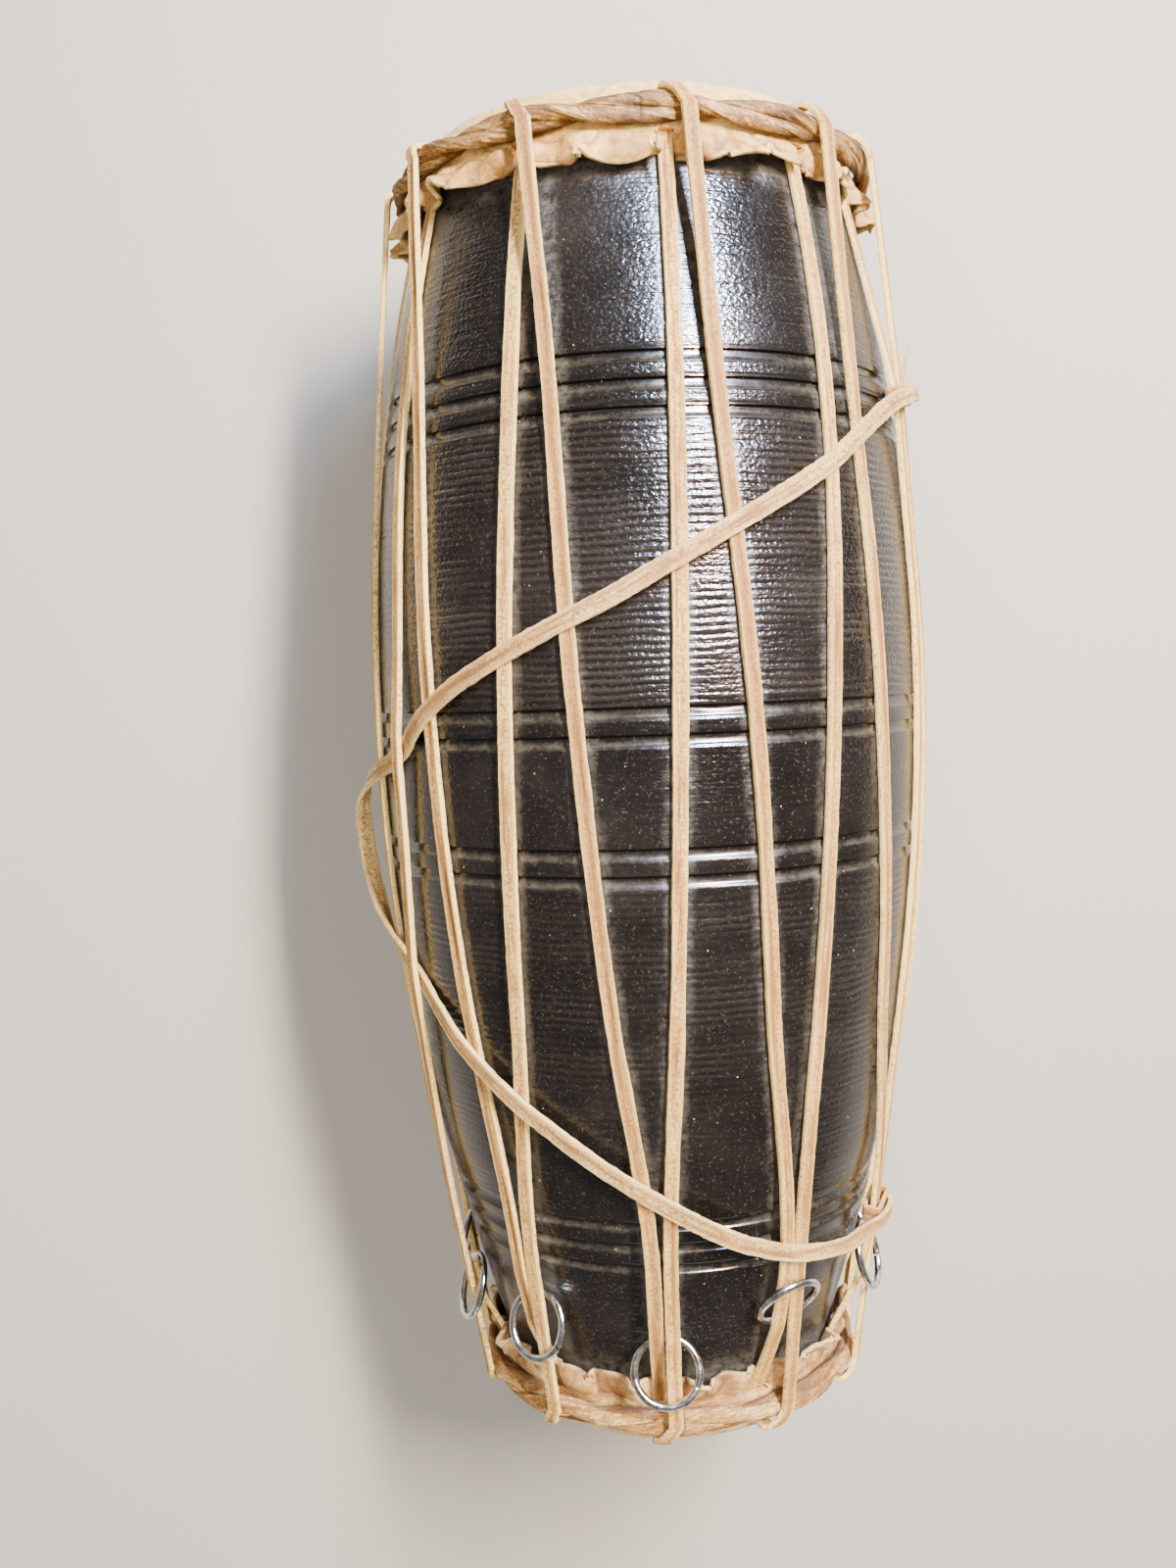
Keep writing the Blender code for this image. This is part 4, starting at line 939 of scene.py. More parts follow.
def dust_and_groove_shade_at(place, beside):
    """Dust in the grooves, beside the thongs and along the skirts. Below 0 marks the steep side of a groove, which is
    painted dark as shade.
    """
    dust = 0.45 * math.exp(-((beside / (1.7 * MM)) ** 2)) + 0.08 * math.exp(-beside / (6 * MM))
    for head in HEADS:
        past = max(head.skirt_end - head.side * place, 0.0)
        dust = max(dust, 0.75 * math.exp(-past / (3.5 * MM)))
    for groove in GROOVES_MM:
        across = (place - groove * MM) / GROOVE_WIDTH
        if -1.2 < across < 0.4:
            dust += 0.55 * math.exp(-((across + 0.3) ** 2) / 0.12) * (0.45 + 0.8 * math.exp(-beside / (9 * MM)))
        elif 0.4 <= across < 0.6:
            dust = -1.0
    return min(dust, 1.0)


bm = spin_outline(shell_outline(), SHELL_STEPS)
bmesh.ops.recalc_face_normals(bm, faces=bm.faces)
dust_and_groove_shade_layer, uncut_layer = (bm.verts.layers.float.new(key) for key in ("dust", "uncut"))
leg_places_at = {}
for vert in bm.verts:
    place = vert.co.y - BELLY_Y
    key = round(place, 4)
    if key not in leg_places_at:
        leg_places_at[key] = [leg_angle(leg, place) for leg in range(LEGS)]
    vert[dust_and_groove_shade_layer] = dust_and_groove_shade_at(place, beside_thongs(place, angle_of(vert.co), leg_places_at[key]))
    in_groove = any(abs(place - groove * MM) < 0.7 * GROOVE_WIDTH for groove in GROOVES_MM)
    vert[uncut_layer] = 0.15 if in_groove else 1.0
shell = add_piece("turned_shell", bm, sharp=50)
print("shell faces", len(shell.data.polygons))

# %% [markdown]
# ### Black lacquer over turned wood
#
# The wood is painted brown-black and varnished. The gouge left rings about 2.5 mm apart, and the wood's grain
# runs across them, along the drum. Between them they break the reflection of a window into short bright bars.
# Where dust lies, the gloss is gone.

# %% The lacquer material
LATHE_PITCH_MM = 2.5
# How deep the rings are cut, and how strongly their ridges are painted lighter, from the small mouth to the large one.
RING_STRENGTH = ((0.0, "#303030"), (0.22, "#404040"), (0.30, "#b0b0b0"), (0.42, "#c0c0c0"), (0.47, "#383838"),
                 (0.54, "#484848"), (0.58, "#ffffff"), (0.74, "#f0f0f0"), (0.80, "#585858"), (1.0, "#484848"))
# How rough the fine lines are, from the small mouth to the large one.
LINE_STRENGTH = ((0.0, "#a0a0a0"), (0.46, "#a8a8a8"), (0.62, "#ffffff"), (1.0, "#ffffff"))
WAVE_PERIOD = math.tau / 20
material, tree = new_tree("black_lacquer_on_turned_wood")
place = add_node(tree, "TexCoord", None, None, OBJECT_PLACE)
dust = add_node(tree, "Attribute", {"attribute_name": "dust"}, None, ATTRIBUTE_NUMBER)
uncut = add_node(tree, "Attribute", {"attribute_name": "uncut"}, None, ATTRIBUTE_NUMBER)
worn = add_node(tree, "TexNoise", None, {"Vector": place, "Scale": 1000 / 42, "Detail": 5.0, "Roughness": 0.65})
broken = add_node(tree, "TexNoise", None, {"Vector": place, "Scale": 1000 / 3.4, "Detail": 4.0, "Roughness": 0.75})
speckle = add_node(tree, "TexNoise", None, {"Vector": place, "Scale": 1000 / 1.1, "Detail": 3.0, "Roughness": 0.8})

# The lathe's rings: a wave along the drum that wobbles a little and is strong in some bands only.
rings = add_node(tree, "TexWave", {"bands_direction": "Y"}, {
    "Vector": place, "Scale": 1000 / LATHE_PITCH_MM * WAVE_PERIOD, "Distortion": 5.0, "Detail": 2.0,
    "Detail Scale": 0.2, "Detail Roughness": 0.7})
along = add_node(tree, "SeparateXYZ", None, {"Vector": place}, 1)
along = add_node(tree, "MapRange", None, {
    "Value": along, "From Min": BELLY_Y - SMALL_MOUTH, "From Max": BELLY_Y + LARGE_MOUTH})
cut_deep = add_node(tree, "ValToRGB", {"stops": RING_STRENGTH}, {"Fac": along})
line_strength = add_node(tree, "ValToRGB", {"stops": LINE_STRENGTH}, {"Fac": along})
band_map = add_node(tree, "Mapping", None, {"Vector": place, "Scale": per_mm(34, 13, 34)})
bands = add_node(tree, "TexNoise", None, {"Vector": band_map, "Scale": 1.0, "Detail": 3.0})
bands = add_node(tree, "MapRange", None, {"Value": bands, "From Min": 0.36, "From Max": 0.6, "To Min": 0.1})
bands = add_node(tree, "Math", TIMES, {0: bands, 1: cut_deep})
rings = add_node(tree, "Math", TIMES, {0: rings, 1: bands})
# Fine turning lines, and the grain of the wood along the drum.
line_map = add_node(tree, "Mapping", None, {"Vector": place, "Scale": per_mm(24, 1.3, 24)})
lines = add_node(tree, "TexNoise", None, {"Vector": line_map, "Scale": 1.0, "Detail": 1.5, "Roughness": 0.5})
grain_map = add_node(tree, "Mapping", None, {"Vector": place, "Scale": per_mm(1.5, 1.0, 1.5)})
grain = add_node(tree, "TexNoise", None, {"Vector": grain_map, "Scale": 1.0, "Detail": 1.0, "Roughness": 0.5})

coat = add_node(tree, "ValToRGB", {"stops": ((0.36, "#0f0d0d"), (0.55, "#161313"), (0.7, "#211c1c"))}, {"Fac": worn})
# Painted light and shade of the lathe rings: the ridges between the cuts are painted lighter.
ridge_painted_light = add_node(tree, "Math", TIMES, {0: rings, 1: 0.40})
coat = add_node(tree, "Mix", COLOURS, {0: ridge_painted_light, 6: coat, 7: linear("#453e3c")}, MIXED_COLOUR)
fleck = add_node(tree, "MapRange", None, {"Value": speckle, "From Min": 0.59, "From Max": 0.68, "To Max": 0.34})
colour = add_node(tree, "Mix", COLOURS, {0: fleck, 6: coat, 7: linear("#75685f")}, MIXED_COLOUR)
haze = add_node(tree, "MapRange", None, {"Value": broken, "From Min": 0.56, "From Max": 0.78, "To Max": 0.12})
colour = add_node(tree, "Mix", COLOURS, {0: haze, 6: colour, 7: linear("#594e4c")}, MIXED_COLOUR)
patchy = add_node(tree, "MapRange", None, {"Value": broken, "From Min": 0.36, "From Max": 0.6, "To Min": 0.25})
dusted = add_node(tree, "Math", TIMES, {0: dust, 1: patchy})
dust_share = add_node(tree, "MapRange", None, {"Value": dusted, "From Min": 0.07, "From Max": 0.9, "To Max": 0.75})
colour = add_node(tree, "Mix", COLOURS, {0: dust_share, 6: colour, 7: linear("#67635b")}, MIXED_COLOUR)
# Painted shade: the steep side of each groove is darkened nearly to black.
groove_painted_shade = add_node(tree, "MapRange", None, {"Value": dust, "From Min": 0.0, "From Max": -0.6, "To Max": 0.9})
colour = add_node(tree, "Mix", COLOURS, {0: groove_painted_shade, 6: colour, 7: linear("#0a0706")}, MIXED_COLOUR)
lint_map = add_node(tree, "Mapping", None, {"Vector": place, "Scale": per_mm(7, 7, 7)})
lint = add_node(tree, "TexVoronoi", None, {"Vector": lint_map, "Scale": 1.0})
lint = add_node(tree, "MapRange", None, {
    "Value": lint, "From Min": 0.025, "From Max": 0.045, "To Min": 0.7, "To Max": 0.0})
colour = add_node(tree, "Mix", COLOURS, {0: lint, 6: colour, 7: linear("#d0cac0")}, MIXED_COLOUR)

rough = add_node(tree, "MapRange", None, {
    "Value": worn, "From Min": 0.35, "From Max": 0.7, "To Min": 0.16, "To Max": 0.24})
gloss = add_node(tree, "Math", TIMES_PLUS, {0: uncut, 1: 0.62, 2: 0.05})
rough = add_node(tree, "Math", TIMES_PLUS, {0: dusted, 1: gloss, 2: rough})
bump = add_node(tree, "Bump", None, {"Height": rings, "Distance": 0.32 * MM})
line_strength = add_node(tree, "Math", TIMES, {0: line_strength, 1: uncut})
lines = add_node(tree, "Math", TIMES, {0: lines, 1: line_strength})
grain = add_node(tree, "Math", TIMES, {0: grain, 1: line_strength})
bump = add_node(tree, "Bump", None, {"Height": lines, "Distance": 0.45 * MM, "Normal": bump})
bump = add_node(tree, "Bump", None, {"Height": grain, "Distance": 0.30 * MM, "Normal": bump})
shader = add_node(tree, "BsdfPrincipled", None, {
    "Base Color": colour, "Roughness": rough, "Normal": bump, "IOR": 1.5, "Specular IOR Level": 0.36})
add_node(tree, "OutputMaterial", None, {"Surface": shader})
dress(shell, material, "drum", "shell", "shell")

# %% [markdown]
# ## The skins
#
# Each head has two skins. The inner one sounds. The outer one is cut away in the middle and holds the first by
# its rim: it goes over the lip, down under the hoop, and its trimmed edge shows as a ruffled skirt. The skins
# are spun as thin open sheets, ruffled by moving points, and then given their thickness.


# %% One line for both skins
LIP_BEND = 2.0 * MM


def skin_line(head, rise):
    """The (place, radius) line of a skin from the flat of the head to the end of its wall, rise above the lip."""
    edge = head.mouth_radius + 1.2 * MM
    wall = head.main_inner + rise
    end_place = head.hoop - HOOP_HEIGHT / 2
    end = shell_radius(head.side * end_place) + THONG_GAP + THONG_THICKNESS + GAP + rise
    line = [(head.mouth + GAP + rise, edge - LIP_BEND - 0.2 * MM)]
    for degrees in range(90, 19, -10):
        turn = math.radians(degrees)
        bend = LIP_BEND + rise
        line.append((
            head.mouth + GAP - LIP_BEND + bend * math.sin(turn), edge - LIP_BEND + bend * math.cos(turn),
        ))
    start_place, start_radius = line[-1]
    for share in (0.33, 0.66, 1.0):
        place = start_place + (head.hoop + 3.5 * MM - start_place) * share
        line.append((place, start_radius + (wall - start_radius) * share))
    return line + [(head.hoop, wall), ((head.hoop + end_place) / 2, (wall + end) / 2), (end_place, end)]


def from_notch(head, degrees, place):
    """Distance round the drum from the nearest place where the thong comes out from under a hoop."""
    angles = (hoop_angle(head, apex, over=False) for apex in range(APEXES))
    off = min(abs((degrees - angle + 180) % 360 - 180) for angle in angles)
    return math.radians(off) * shell_radius(head.side * place)


def spin_skin(line, head, steps):
    """Spins a skin's line into an open sheet whose faces point away from the drum's middle."""
    bm = spin_outline([(head.side * place, radius) for place, radius in line], steps)
    bmesh.ops.recalc_face_normals(bm, faces=bm.faces)
    bm.normal_update()
    flat = max(bm.faces, key=lambda face: head.side * face.calc_center_median().y)
    if flat.normal.y * head.side < 0:
        bmesh.ops.reverse_faces(bm, faces=bm.faces)
    return bm


def thicken(piece, thickness):
    """Gives a sheet its thickness outwards."""
    solid = piece.modifiers.new("thickness", "SOLIDIFY")
    solid.thickness = thickness
    solid.offset = 1.0


# %% [markdown]
# ### Hide
#
# The skins are dried hide, scraped thin: pale, with pores, and with darker blotches where fat or glue soaked in.
# Where the hide was cut or rubbed it is paler, and the mesh stores where that is. On the skirt's folds the tops are
# also painted paler, as painted highlight, and the valleys darker, as painted shade.


# %% The hide material
def hide_material(name, dark, middle, pale, blotch_mm, pore_mm):
    """Dried hide, on Object coordinates."""
    material, tree = new_tree(name)
    place = add_node(tree, "TexCoord", None, None, OBJECT_PLACE)
    rubbed = add_node(tree, "Attribute", {"attribute_name": "rubbed"}, None, ATTRIBUTE_NUMBER)
    blotch = add_node(tree, "TexNoise", None, {
        "Vector": place, "Scale": 1000 / blotch_mm, "Detail": 6.0, "Roughness": 0.62, "Distortion": 0.6})
    pores = add_node(tree, "TexNoise", None, {
        "Vector": place, "Scale": 1000 / pore_mm, "Detail": 3.0, "Roughness": 0.7})
    veins = add_node(tree, "TexNoise", None, {
        "Vector": place, "Scale": 3300 / blotch_mm, "Detail": 4.0, "Roughness": 0.6, "Distortion": 1.5})
    tint = add_node(tree, "Math", TIMES, {0: veins, 1: 0.45})
    tint = add_node(tree, "Math", TIMES_PLUS, {0: blotch, 1: 0.55, 2: tint})
    tint = add_node(tree, "MapRange", None, {"Value": tint, "From Min": 0.36, "From Max": 0.66})
    colour = add_node(tree, "ValToRGB", {"stops": ((0.0, dark), (0.5, middle), (1.0, pale))}, {"Fac": tint})
    pored = add_node(tree, "MapRange", None, {"Value": pores, "From Min": 0.55, "From Max": 0.7, "To Max": 0.5})
    colour = add_node(tree, "Mix", COLOURS, {0: pored, 6: colour, 7: linear(dark)}, MIXED_COLOUR)
    # Paler where the hide was cut or rubbed, and on the skirt's fold tops, where the paler colour is painted highlight.
    worn = add_node(tree, "MapRange", None, {"Value": veins, "From Min": 0.35, "From Max": 0.6, "To Min": 0.4})
    worn = add_node(tree, "Math", TIMES, {0: worn, 1: rubbed})
    colour = add_node(tree, "Mix", COLOURS, {0: worn, 6: colour, 7: linear(pale)}, MIXED_COLOUR)
    # Painted shade: the skirt's fold valleys and creases are darkened towards the dark colour.
    valley = add_node(tree, "Attribute", {"attribute_name": "valley"}, None, ATTRIBUTE_NUMBER)
    valley = add_node(tree, "Math", TIMES, {0: valley, 1: 0.9})
    colour = add_node(tree, "Mix", COLOURS, {0: valley, 6: colour, 7: linear(dark)}, MIXED_COLOUR)
    rough = add_node(tree, "MapRange", None, {
        "Value": blotch, "From Min": 0.3, "From Max": 0.7, "To Min": 0.5, "To Max": 0.78})
    bump = add_node(tree, "Bump", None, {"Height": veins, "Distance": 0.35 * MM})
    bump = add_node(tree, "Bump", None, {"Height": pores, "Distance": 0.3 * MM, "Normal": bump})
    shader = add_node(tree, "BsdfPrincipled", None, {
        "Base Color": colour, "Roughness": rough, "Normal": bump, "IOR": 1.45, "Specular IOR Level": 0.16})
    add_node(tree, "OutputMaterial", None, {"Surface": shader})
    return material


RING_HIDE = hide_material("dried_hide_skirt", "#805224", "#e2ae60", "#fde09c", 22, 1.0)
SMALL_RING_HIDE = hide_material("dried_hide_skirt_small_end", "#704a28", "#c99a5e", "#f6d8a2", 20, 1.1)
MAIN_HIDE = hide_material("goat_skin_scraped", "#b98748", "#ddb578", "#f2d6a2", 30, 0.9)

# %% The two sounding skins
SKIN_STEPS = 160
DRUM_OUT_SHARES = (0.15, 0.3, 0.45, 0.6, 0.75, 0.88)
for head in HEADS:
    line = [(head.mouth + GAP, 0.0)]
    line += [(head.mouth + GAP, head.mouth_radius * share) for share in DRUM_OUT_SHARES]
    bm = spin_skin(line + skin_line(head, 0.0), head, SKIN_STEPS)
    skin = add_piece(f"{head.name}_main_skin_sheet", bm)
    thicken(skin, MAIN_SKIN)
    dress(skin, MAIN_HIDE, "drum", "main_skin", f"{head.name}_main_skin")
    print(skin.name, "faces", len(skin.data.polygons))

# %% [markdown]
# ### The ruffled skirt
#
# The skirt was wet when the hoop was driven on, and it dried in folds. It stands off the shell in lobes, leans to
# one side of each fold, and ends in an uneven, paler cut edge. The thong comes out through a slit in it.

# %% The two outer skins
RING_SKIN_STEPS = 720
SKIRT_ROWS = 14
NOTCH_HALF = 2.6 * MM
SKIRT_LIFT = 1.0 * MM
RING_HOLE_SHARE = 0.58
SKIRT_HEIGHT = {"large": 8.0 * MM, "small": 4.0 * MM}
SKIRT_LEAN = {"large": 5.5 * MM, "small": 3.0 * MM}
SKIRT_UNEVEN = {"large": 3.2 * MM, "small": 2.4 * MM}
SKIRT_CRUMPLE = {"large": 5.0 * MM, "small": 2.6 * MM}
SKIRT_ROOM = 3.0 * MM
SLIT_FOLD = 2.4 * MM


def fold_at(head, degrees):
    """The skirt's fold at an angle: its height from 0 to 1, and its lean to the side from -1 to 1."""
    turn = math.radians(degrees)
    base = Vector((math.sin(turn) * 3.1, math.cos(turn) * 3.1, head.side * 5.0))
    phase = 21 * turn + 3.6 * noise.noise(base)
    height = 0.5 + 0.5 * math.sin(phase) + 0.75 * noise.noise(base * 2.6)
    return min(max(height, 0.0), 1.2), math.cos(phase)


def ruffle(bm, head):
    """Folds the skirt, makes its edge uneven and opens it where the thong comes out."""
    rubbed, valley = (bm.verts.layers.float.new(key) for key in ("rubbed", "valley"))
    start = head.hoop - HOOP_HEIGHT / 2
    for vert in bm.verts:
        place = head.side * (vert.co.y - BELLY_Y)
        if place > head.hoop + HOOP_HEIGHT / 2 - MM:
            vert[rubbed] = 0.8
        share = (start - place) / (start - head.skirt_end)
        if share <= 0.02:
            continue
        degrees = angle_of(vert.co)
        height, lean = fold_at(head, degrees)
        notch = min(max((from_notch(head, degrees, place) - NOTCH_HALF) / (3 * MM), 0.0), 1.0)
        reach = math.hypot(vert.co.x, vert.co.z - AXIS_Z)
        around = Vector((degrees * 0.11, head.side, 2.0))
        longer = SKIRT_UNEVEN[head.name] * (noise.noise(around) + 0.45 * noise.noise(around * 4.1))
        large_fold, small_fold = abs(noise.noise(vert.co * 95)), abs(noise.noise(vert.co * 230))
        crumple = 1.2 * large_fold + 0.22 * small_fold
        reach += share**1.5 * SKIRT_HEIGHT[head.name] * height * notch
        reach += min(share * 3, 1.0) * SKIRT_CRUMPLE[head.name] * crumple * notch
        over_leg = LEG_LINES[9 if head is LARGE else 8]
        leg_places = [leg_angle(leg, head.side * place) for leg in range(LEGS)]
        beside = beside_thongs(head.side * place, degrees, leg_places)
        room = min(max(beside - 1.0 * MM, 0.0), SKIRT_ROOM)
        reach = min(reach, on_line(over_leg, head.side * place) - THONG_THICKNESS / 2 - RING_SKIN - GAP + room)
        down = 1 - min(max((from_notch(head, degrees, place) - NOTCH_HALF) / SLIT_FOLD, 0.0), 1.0)
        reach += (shell_radius(head.side * place) + GAP - reach) * down
        place -= share * (longer - 1.4 * MM * height * share)
        degrees += math.degrees(share**1.3 * SKIRT_LEAN[head.name] * lean * notch / reach)
        vert.co = on_drum(degrees, reach, head.side * place)
        # The cut edge is paler, and the fold tops are painted paler, as painted highlight.
        vert[rubbed] = max((share - 0.86) * 7, 0.6 * (height - 0.5), 0.0)
        # The fold valleys and creases are painted darker, as painted shade.
        crease_painted_shade = max(1 - 8 * large_fold, 0.0) + 0.3 * max(1 - 7 * small_fold, 0.0) + max(0.5 - height, 0.0)
        vert[valley] = min(share * 4, 1.0) * min(crease_painted_shade, 1.0)
    doomed = []
    for face in bm.faces:
        middle = face.calc_center_median()
        place = head.side * (middle.y - BELLY_Y)
        if place < start - 0.1 * MM and from_notch(head, angle_of(middle), place) < NOTCH_HALF:
            doomed.append(face)
    bmesh.ops.delete(bm, geom=doomed, context="FACES")


for head, hide in ((LARGE, RING_HIDE), (SMALL, SMALL_RING_HIDE)):
    rise = MAIN_SKIN + GAP
    hole = head.mouth_radius * RING_HOLE_SHARE
    line = [(head.mouth + GAP + rise, hole + (head.mouth_radius - LIP_BEND - hole) * share) for share in (0, 0.5)]
    line += skin_line(head, rise)
    start_place, start_radius = line[-1]
    end_radius = shell_radius(head.side * head.skirt_end) + SKIRT_LIFT
    for row in range(1, SKIRT_ROWS + 1):
        share = row / SKIRT_ROWS
        line.append((start_place + (head.skirt_end - start_place) * share,
                     start_radius + (end_radius - start_radius) * share))
    bm = spin_skin(line, head, RING_SKIN_STEPS)
    ruffle(bm, head)
    skin = add_piece(f"{head.name}_ring_skin_sheet", bm, sharp=60)
    thicken(skin, RING_SKIN)
    dress(skin, hide, "drum", "ring_skin", f"{head.name}_ring_skin")
    print(skin.name, "faces", len(skin.data.polygons))

# %% [markdown]
# ## The tuning paste
#
# The black spot on each head is a paste of iron dust and starch, rubbed on in thin rounds and polished with a
# stone. It loads the skin and gives the drum its clear pitch. Fine cracks run through it as it dries.

# %% The paste
PASTE_SHARE = 0.40
PASTE_THICKNESS = 1.4 * MM
PASTE_STEPS = 96
# The rounds of paste: each as a share of the disc's radius and of its thickness.
PASTE_ROUNDS = ((0.93, 0.52), (0.84, 0.62), (0.74, 0.73), (0.62, 0.86), (0.48, 1.0))
material, tree = new_tree("iron_dust_and_starch_paste")
place = add_node(tree, "TexCoord", None, None, OBJECT_PLACE)
cracks = add_node(tree, "TexVoronoi", {"feature": "DISTANCE_TO_EDGE"}, {"Vector": place, "Scale": 1000 / 3.2})
crack = add_node(tree, "MapRange", None, {"Value": cracks, "From Max": 0.05, "To Min": 1.0, "To Max": 0.0})
mottle = add_node(tree, "TexNoise", None, {"Vector": place, "Scale": 1000 / 14, "Detail": 4.0})
colour = add_node(tree, "ValToRGB", {"stops": ((0.3, "#101012"), (0.7, "#242427"))}, {"Fac": mottle})
colour = add_node(tree, "Mix", COLOURS, {0: crack, 6: colour, 7: linear("#050505")}, MIXED_COLOUR)
rough = add_node(tree, "MapRange", None, {
    "Value": mottle, "From Min": 0.3, "From Max": 0.7, "To Min": 0.50, "To Max": 0.72})
sunk = add_node(tree, "Math", TIMES, {0: crack, 1: -1.0})
bump = add_node(tree, "Bump", None, {"Height": sunk, "Distance": 0.08 * MM})
shader = add_node(tree, "BsdfPrincipled", None, {
    "Base Color": colour, "Roughness": rough, "Normal": bump, "Specular IOR Level": 0.35})
add_node(tree, "OutputMaterial", None, {"Surface": shader})
for head in HEADS:
    radius = head.mouth_radius * PASTE_SHARE
    base = head.mouth + 2 * GAP + MAIN_SKIN
    outline = [(base, 0.0), (base, radius - 0.3 * MM), (base + 0.25 * PASTE_THICKNESS, radius)]
    for round_share, height_share in PASTE_ROUNDS:
        height = PASTE_THICKNESS * height_share
        outline += [(base + height - 0.09 * MM, radius * round_share + 0.5 * MM), (base + height, radius * round_share)]
    outline.append((base + PASTE_THICKNESS, 0.0))
    bm = spin_outline([(head.side * place, radius) for place, radius in outline], PASTE_STEPS)
    bmesh.ops.recalc_face_normals(bm, faces=bm.faces)
    paste = add_piece(f"{head.name}_tuning_paste_disc", bm)
    dress(paste, material, "drum", "tuning_paste", f"{head.name}_tuning_paste")
    print(paste.name, "faces", len(paste.data.polygons))

# %% [markdown]
# ## The twisted hoops
#
# A hoop is two rolls of thick hide, twisted round each other while wet. A roll is a rolled-up sheet, so its
# outline has a lip where the sheet ends, and the lip winds round as the roll twists. Each roll is extruded along
# its own helix round the drum. Noise that is stretched along the roll gives it its long wrinkles, and the outer
# ridges and the lips are rubbed pale.

# The low sides of the rolls, under them and where they meet, are painted darker, as shade.

# %% The twisted hide
def twisted_hide_material(name, dark, middle, pale):
    """Thick hide in a roll. It reads along and across in metres, and from 0 to 1 how worn pale it is and how much
    painted shade lies low on the rolls.
    """
    material, tree = new_tree(name)
    along, across, rubbed, deep = (
        add_node(tree, "Attribute", {"attribute_name": key}, None, ATTRIBUTE_NUMBER)
        for key in ("along", "across", "rubbed", "deep")
    )
    roll = add_node(tree, "CombineXYZ", None, {"X": along, "Y": across})
    place = add_node(tree, "TexCoord", None, None, OBJECT_PLACE)
    fibre_map = add_node(tree, "Mapping", None, {"Vector": roll, "Scale": per_mm(20, 5.0, 1)})
    fibres = add_node(tree, "TexNoise", None, {"Vector": fibre_map, "Scale": 1.0, "Detail": 5.0, "Roughness": 0.6})
    pores = add_node(tree, "TexNoise", None, {"Vector": place, "Scale": 1000 / 1.0, "Detail": 3.0, "Roughness": 0.7})
    blotch = add_node(tree, "TexNoise", None, {"Vector": place, "Scale": 1000 / 17, "Detail": 5.0, "Roughness": 0.65})
    scuff_map = add_node(tree, "Mapping", None, {"Vector": roll, "Scale": per_mm(6, 1.9, 1)})
    scuffs = add_node(tree, "TexNoise", None, {"Vector": scuff_map, "Scale": 1.0, "Detail": 4.0, "Roughness": 0.7})
    tint = add_node(tree, "Math", TIMES, {0: fibres, 1: 0.4})
    tint = add_node(tree, "Math", TIMES_PLUS, {0: scuffs, 1: 0.45, 2: tint})
    tint = add_node(tree, "Math", TIMES_PLUS, {0: blotch, 1: 0.35, 2: tint})
    tint = add_node(tree, "MapRange", None, {"Value": tint, "From Min": 0.48, "From Max": 0.76})
    colour = add_node(tree, "ValToRGB", {"stops": ((0.0, dark), (0.5, middle), (1.0, pale))}, {"Fac": tint})
    pored = add_node(tree, "MapRange", None, {"Value": pores, "From Min": 0.5, "From Max": 0.68, "To Max": 0.6})
    colour = add_node(tree, "Mix", COLOURS, {0: pored, 6: colour, 7: linear(dark)}, MIXED_COLOUR)
    # A crack runs where the scuffs pass through their middle value.
    off_middle = add_node(tree, "Math", {"operation": "SUBTRACT"}, {0: scuffs, 1: 0.5})
    off_middle = add_node(tree, "Math", {"operation": "ABSOLUTE"}, {0: off_middle})
    crack = add_node(tree, "MapRange", None, {"Value": off_middle, "From Max": 0.04, "To Min": 0.9, "To Max": 0.0})
    worn = add_node(tree, "MapRange", None, {"Value": fibres, "From Min": 0.42, "From Max": 0.6, "To Min": 0.1})
    worn = add_node(tree, "Math", TIMES, {0: worn, 1: rubbed})
    colour = add_node(tree, "Mix", COLOURS, {0: worn, 6: colour, 7: linear(pale)}, MIXED_COLOUR)
    colour = add_node(tree, "Mix", COLOURS, {0: crack, 6: colour, 7: linear(dark)}, MIXED_COLOUR)
    # Painted shade: the low sides of the rolls are darkened towards the dark colour.
    sunk = add_node(tree, "Math", TIMES, {0: deep, 1: 0.85})
    colour = add_node(tree, "Mix", COLOURS, {0: sunk, 6: colour, 7: linear(dark)}, MIXED_COLOUR)
    bump = add_node(tree, "Bump", None, {"Height": fibres, "Distance": 0.5 * MM})
    bump = add_node(tree, "Bump", None, {"Height": scuffs, "Distance": 0.4 * MM, "Normal": bump})
    shader = add_node(tree, "BsdfPrincipled", None, {
        "Base Color": colour, "Roughness": 0.72, "Normal": bump, "IOR": 1.45, "Specular IOR Level": 0.18})
    add_node(tree, "OutputMaterial", None, {"Surface": shader})
    return material


HOOP_HIDE = twisted_hide_material("twisted_hide_hoop", "#402a10", "#a27438", "#f0c682")
SMALL_HOOP_HIDE = twisted_hide_material("twisted_hide_hoop_small_end", "#62411e", "#cc9858", "#fadca0")

# %% The rolls and the hoops
# The small hoop is flatter and less tightly twisted, so it looks like one wrapped band.
HOOP_TWISTS = {"large": 6, "small": 4}
LIP_TURNS = 1.5
HOOP_STEPS = 420
ROLL_SIDES = 26
ROLL_HALF_WIDTH = {"large": 2.65 * MM, "small": 3.3 * MM}
ROLL_HALF_DEPTH = {"large": 2.05 * MM, "small": 2.3 * MM}
ROLL_SWAY = {"large": 2.4 * MM, "small": 1.75 * MM}
ROLL_RISE = {"large": 1.1 * MM, "small": 0.85 * MM}
ROLL_RUN = 140


